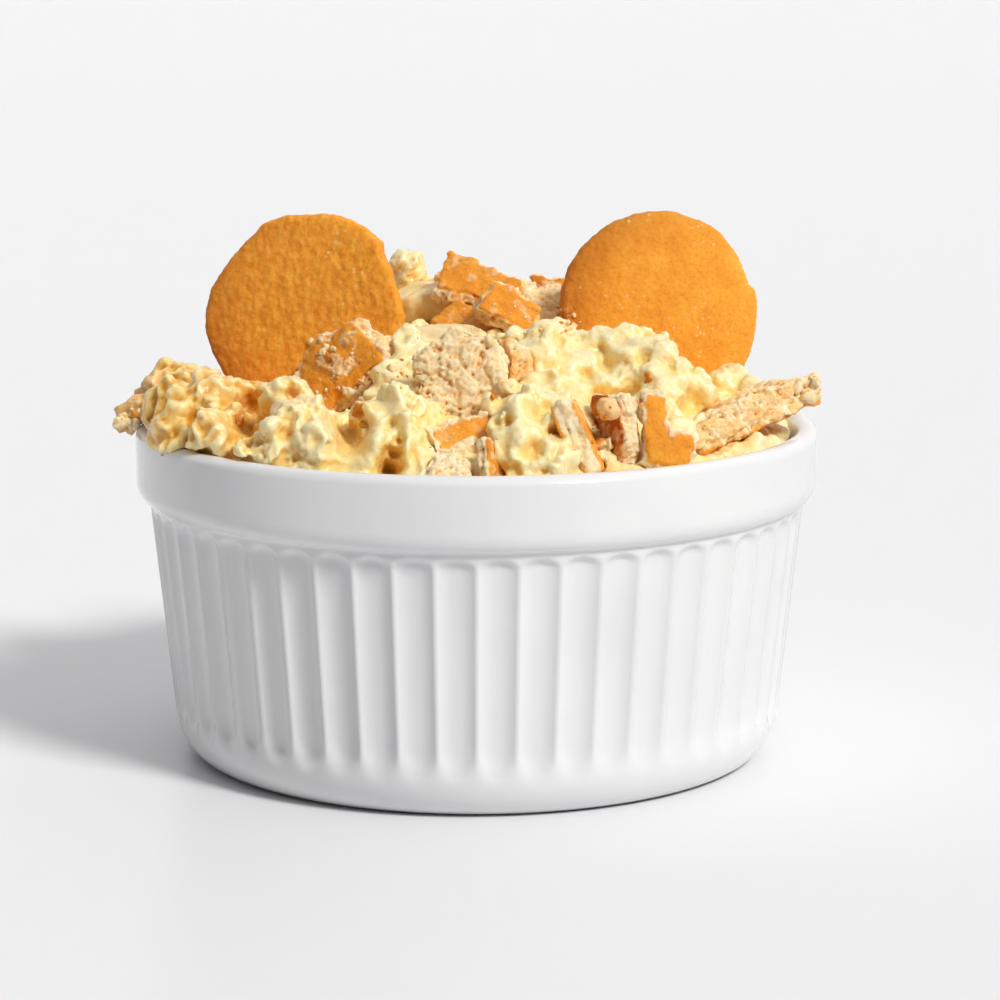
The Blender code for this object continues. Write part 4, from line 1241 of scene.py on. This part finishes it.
def mixed(tree, node, share, first, second, mode="MIX"):
    made = node("ShaderNodeMix", data_type="RGBA", blend_type=mode)
    for socket, value in ((made.inputs["Factor"], share), (made.inputs["A"], first),
                          (made.inputs["B"], second)):
        colour_sockets = [s for s in made.inputs if s.name == socket.name
                          and (s.type == "RGBA" or (socket.name == "Factor"
                                                    and s.type == "VALUE"))]
        socket = colour_sockets[0]
        if isinstance(value, bpy.types.NodeSocket):
            link(tree, value, socket)
        elif isinstance(value, (int, float)):
            socket.default_value = value
        else:
            socket.default_value = (*value, 1.0)
    return [s for s in made.outputs if s.type == "RGBA"][0]


def attribute(node, name):
    return node("ShaderNodeAttribute", attribute_name=name).outputs["Fac"]


def maths(tree, node, kind, first, second=0.0):
    made = node("ShaderNodeMath", operation=kind)
    for socket, value in zip(made.inputs, (first, second)):
        if isinstance(value, bpy.types.NodeSocket):
            link(tree, value, socket)
        else:
            socket.default_value = value
    return made.outputs[0]


def bumped(tree, node, shader, height, strength, distance):
    bump = node("ShaderNodeBump")
    bump.inputs["Strength"].default_value = strength
    bump.inputs["Distance"].default_value = distance
    link(tree, height, bump.inputs["Height"])
    link(tree, bump.outputs["Normal"], shader.inputs["Normal"])


def srgb(red, green, blue):
    """Colour given as on screen, 0 to 255, as light."""
    return tuple((c / 255 / 12.92) if c / 255 <= 0.04045
                 else ((c / 255 + 0.055) / 1.055) ** 2.4 for c in (red, green, blue))


def glaze_material():
    material, tree, shader, node = new_material("white_glaze")
    place = node("ShaderNodeTexCoord").outputs["Object"]
    cloud = noise_of(tree, node, place, 40.0, 2.0)
    tint = ramp(tree, node, cloud, [(0.3, srgb(228, 228, 230)), (0.7, srgb(234, 234, 234))])
    link(tree, tint, shader.inputs["Base Color"])
    specks = noise_of(tree, node, place, 900.0, 2.0)
    rough = ramp(tree, node, specks, [(0.3, (0.10,) * 3), (0.8, (0.17,) * 3)])
    link(tree, rough, shader.inputs["Roughness"])
    shader.inputs["IOR"].default_value = 1.52
    shader.inputs["Coat Weight"].default_value = 0.3
    shader.inputs["Coat Roughness"].default_value = 0.05
    wave = noise_of(tree, node, place, 130.0, 1.0)
    bumped(tree, node, shader, wave, 0.12, 0.0006)
    return material


def cream_material():
    material, tree, shader, node = new_material("banana_cream")
    place = node("ShaderNodeTexCoord").outputs["Object"]
    # Painted shade: the less sky a place of the cream sees, the darker and more amber it is coloured;
    # open places are paler
    seen = attribute(node, "seen")
    lit = ramp(tree, node, seen, [(0.05, srgb(236, 180, 80)), (0.36, srgb(255, 215, 118)),
                                  (0.70, srgb(255, 230, 156)), (1.0, srgb(255, 239, 196))])
    # Painted shade in the creases: where the relief dips the cream is coloured darker and more
    # saturated, on crests paler; mixed half and half with the sky shade
    fold = attribute(node, "fold")
    depth = ramp(tree, node, fold, [(0.10, srgb(248, 198, 94)), (0.42, srgb(255, 223, 144)),
                                    (0.78, srgb(255, 237, 196))])
    colour = mixed(tree, node, 0.50, lit, depth)
    cloud = noise_of(tree, node, place, 110.0, 3.0)
    patch = ramp(tree, node, cloud, [(0.35, srgb(252, 210, 120)), (0.65, srgb(255, 232, 190))])
    colour = mixed(tree, node, 0.22, colour, patch)
    # Painted shade on the left of the heap, away from the key light: there the creases are mixed
    # towards dark amber and the rest is darkened, crests least
    low = ramp(tree, node, fold, [(0.22, (1,) * 3), (0.66, (0,) * 3)])
    left_shade = maths(tree, node, "MULTIPLY", attribute(node, "left_shade"), low)
    colour = mixed(tree, node, left_shade, colour, srgb(212, 160, 56))
    middling = ramp(tree, node, fold, [(0.30, (1,) * 3), (0.85, (0.25,) * 3)])
    shaded = maths(tree, node, "MULTIPLY", attribute(node, "left_shade"), middling)
    colour = mixed(tree, node, shaded, colour, srgb(246, 216, 118), "MULTIPLY")
    tan = maths(tree, node, "MULTIPLY", attribute(node, "tan"), 0.75)
    colour = mixed(tree, node, tan, colour, srgb(220, 174, 116))
    link(tree, colour, shader.inputs["Base Color"])
    shader.inputs["Subsurface Weight"].default_value = 0.6
    shader.inputs["Subsurface Radius"].default_value = (1.0, 0.70, 0.34)
    shader.inputs["Subsurface Scale"].default_value = 0.0016
    shader.inputs["IOR"].default_value = 1.42
    shader.inputs["Coat Weight"].default_value = 0.3
    shader.inputs["Coat Roughness"].default_value = 0.16
    wet = noise_of(tree, node, place, 260.0, 2.0)
    rough = ramp(tree, node, wet, [(0.35, (0.26,) * 3), (0.7, (0.46,) * 3)])
    link(tree, rough, shader.inputs["Roughness"])
    grain = noise_of(tree, node, place, 720.0, 5.0, 0.5)
    bumped(tree, node, shader, grain, 0.5, 0.0007)
    return material


def wafer_material():
    material, tree, shader, node = new_material("baked_wafer")
    place = node("ShaderNodeTexCoord").outputs["Object"]
    crust = attribute(node, "crust")
    under = attribute(node, "under")
    edge = attribute(node, "edge")
    hollow = attribute(node, "hollow")
    cloud = noise_of(tree, node, place, 190.0, 4.0)
    top = ramp(tree, node, cloud, [(0.30, srgb(245, 158, 46)), (0.55, srgb(253, 172, 54)),
                                   (0.75, srgb(255, 186, 72))])
    upright = node("ShaderNodeMapping")
    upright.inputs["Scale"].default_value = (1.5, 1.5, 0.75)
    link(tree, place, upright.inputs["Vector"])
    mottle = noise_of(tree, node, upright.outputs["Vector"], 560.0, 5.0)
    bottom = ramp(tree, node, mottle, [(0.30, srgb(232, 146, 38)), (0.52, srgb(248, 168, 52)),
                                       (0.72, srgb(255, 188, 80))])
    skin = mixed(tree, node, under, top, bottom)
    # Browning of the crust: baked, and on the whole wafers' rims away from the key light and on the
    # front upright piece also painted shade
    toast_and_shade = maths(tree, node, "MULTIPLY", edge, 0.62)
    skin = mixed(tree, node, toast_and_shade, skin, srgb(188, 98, 18))
    sand = ramp(tree, node, noise_of(tree, node, place, 1700.0, 3.0),
                [(0.34, (0.26,) * 3), (0.52, (0,) * 3)])
    skin = mixed(tree, node, sand, skin, srgb(196, 108, 24))
    fine = noise_of(tree, node, place, 1400.0, 3.0)
    crumb = ramp(tree, node, fine, [(0.30, srgb(253, 219, 162)), (0.55, srgb(255, 234, 194)),
                                    (0.8, srgb(255, 245, 220))])
    clouds = ramp(tree, node, noise_of(tree, node, place, 240.0, 3.0),
                  [(0.50, (0,) * 3), (0.72, (1,) * 3)])
    tanned = maths(tree, node, "MULTIPLY", clouds, 0.35)
    crumb = mixed(tree, node, tanned, crumb, srgb(244, 184, 96))
    # Painted shade: the crumb's crevices, and its tanned or random darker patches, are multiplied
    # towards brown
    shade = ramp(tree, node, hollow, [(0.0, srgb(255, 255, 255)), (0.40, srgb(251, 220, 168)),
                                      (1.0, srgb(198, 122, 52))])
    crumb = mixed(tree, node, 1.0, crumb, shade, "MULTIPLY")
    colour = mixed(tree, node, crust, crumb, skin)
    grains = node("ShaderNodeTexVoronoi")
    grains.inputs["Scale"].default_value = 700.0
    link(tree, place, grains.inputs["Vector"])
    dots = ramp(tree, node, grains.outputs["Distance"], [(0.12, (1,) * 3), (0.24, (0,) * 3)])
    patchy = ramp(tree, node, noise_of(tree, node, place, 95.0, 2.0),
                  [(0.50, (0,) * 3), (0.66, (1,) * 3)])
    speck = maths(tree, node, "MULTIPLY", dots, patchy)
    speck = maths(tree, node, "MULTIPLY", speck, 0.75)
    colour = mixed(tree, node, speck, colour, srgb(255, 226, 176))
    link(tree, colour, shader.inputs["Base Color"])
    shader.inputs["Roughness"].default_value = 0.72
    shader.inputs["Specular IOR Level"].default_value = 0.28
    shader.inputs["Subsurface Weight"].default_value = 0.35
    shader.inputs["Subsurface Radius"].default_value = (1.0, 0.6, 0.3)
    shader.inputs["Subsurface Scale"].default_value = 0.001
    grain = noise_of(tree, node, place, 1000.0, 6.0, 0.72)
    bumped(tree, node, shader, grain, 0.7, 0.0005)
    return material


def banana_material():
    material, tree, shader, node = new_material("banana_flesh")
    place = node("ShaderNodeTexCoord").outputs["Object"]
    hollow = attribute(node, "hollow")
    base = ramp(tree, node, hollow, [(0.0, srgb(252, 230, 166)), (1.0, srgb(244, 210, 132))])
    cloud = noise_of(tree, node, place, 320.0, 3.0)
    veins = ramp(tree, node, cloud, [(0.4, srgb(228, 186, 112)), (0.62, srgb(250, 232, 186))])
    colour = mixed(tree, node, 0.45, base, veins)
    link(tree, colour, shader.inputs["Base Color"])
    shader.inputs["Roughness"].default_value = 0.38
    shader.inputs["Subsurface Weight"].default_value = 0.4
    shader.inputs["Subsurface Radius"].default_value = (1.0, 0.7, 0.35)
    shader.inputs["Subsurface Scale"].default_value = 0.0018
    grain = noise_of(tree, node, place, 1300.0, 4.0)
    bumped(tree, node, shader, grain, 0.3, 0.0003)
    return material


def floor_material():
    material, tree, shader, node = new_material("pale_table")
    shader.inputs["Base Color"].default_value = (*srgb(235, 235, 237), 1.0)
    shader.inputs["Roughness"].default_value = 0.28
    shader.inputs["IOR"].default_value = 1.22
    return material


# Stage, light and camera

# The backdrop, in metres
SWEEP_SIDE = 12.0
SWEEP_START = 1.8
SWEEP_RADIUS = 2.4

def make_stage():
    """Table that sweeps up into a backdrop far behind."""
    line = [(-SWEEP_SIDE, 0.0), (SWEEP_START, 0.0)]
    for step in range(1, 25):
        angle = 0.5 * math.pi * step / 24
        line.append((SWEEP_START + SWEEP_RADIUS * math.sin(angle),
                     SWEEP_RADIUS * (1.0 - math.cos(angle))))
    line.append((SWEEP_START + SWEEP_RADIUS, SWEEP_SIDE))
    points = []
    for y, z in line:
        points += [(-SWEEP_SIDE, y, z), (SWEEP_SIDE, y, z)]
    faces = [(2 * i, 2 * i + 1, 2 * i + 3, 2 * i + 2) for i in range(len(line) - 1)]
    mesh = new_mesh("table_top", points, faces)
    mesh.shade_smooth()
    mesh.materials.append(floor_material())
    floor = bpy.data.objects.new("table_top", mesh)
    bpy.context.scene.collection.objects.link(floor)


def add_sun(name, around, up, strength, softness, colour=(1, 1, 1)):
    """Distant light: degrees round from the front towards +X, and degrees up."""
    data = bpy.data.lights.new(name, "SUN")
    data.energy = strength
    data.angle = math.radians(softness)
    data.color = colour
    sun = bpy.data.objects.new(name, data)
    sun.rotation_euler = towards((around, up)).to_track_quat("Z", "Y").to_euler()
    bpy.context.scene.collection.objects.link(sun)
    return sun


def make_light():
    world = bpy.data.worlds.new("studio")
    bpy.context.scene.world = world
    world.use_nodes = True
    background = world.node_tree.nodes["Background"]
    background.inputs["Color"].default_value = (0.985, 0.99, 1.0, 1.0)
    background.inputs["Strength"].default_value = 0.09
    add_sun("key", 42, 42, 2.62, 13, (1.0, 0.99, 0.97))
    add_sun("overhead", 60, 74, 0.80, 80)
    view = bpy.context.scene.view_settings
    view.view_transform = "Standard"
    view.look = "None"
    view.exposure = 0.0
    view.gamma = 1.0


def make_camera():
    data = bpy.data.cameras.new("camera")
    data.sensor_fit = "HORIZONTAL"
    data.sensor_width = 36.0
    data.lens = 36.0 * 3300.0 / 1000.0
    data.clip_start = 0.01
    data.clip_end = 50.0
    camera = bpy.data.objects.new("camera", data)
    camera.location = (0.0, -0.6101, 0.1577)
    camera.rotation_euler = (math.radians(90.0 - 10.31), 0.0, -math.atan(23.5 / 3300.0))
    bpy.context.scene.collection.objects.link(camera)
    bpy.context.scene.camera = camera


def main():
    wafer = wafer_material()
    pieces = []
    for name in WAFERS:
        voxel = 0.32 if name.startswith("wafer") else 0.22
        make_wafer(name, voxel, wafer, pieces)
    make_bead(wafer, pieces)
    banana = banana_material()
    for name in BANANAS:
        make_banana(name, banana, pieces)
    cream = cream_material()
    make_pudding(pieces, cream)
    make_crumbs(pieces, wafer)
    make_pudding_below(cream)
    make_ramekin(glaze_material())
    make_stage()
    make_light()
    make_camera()


main()
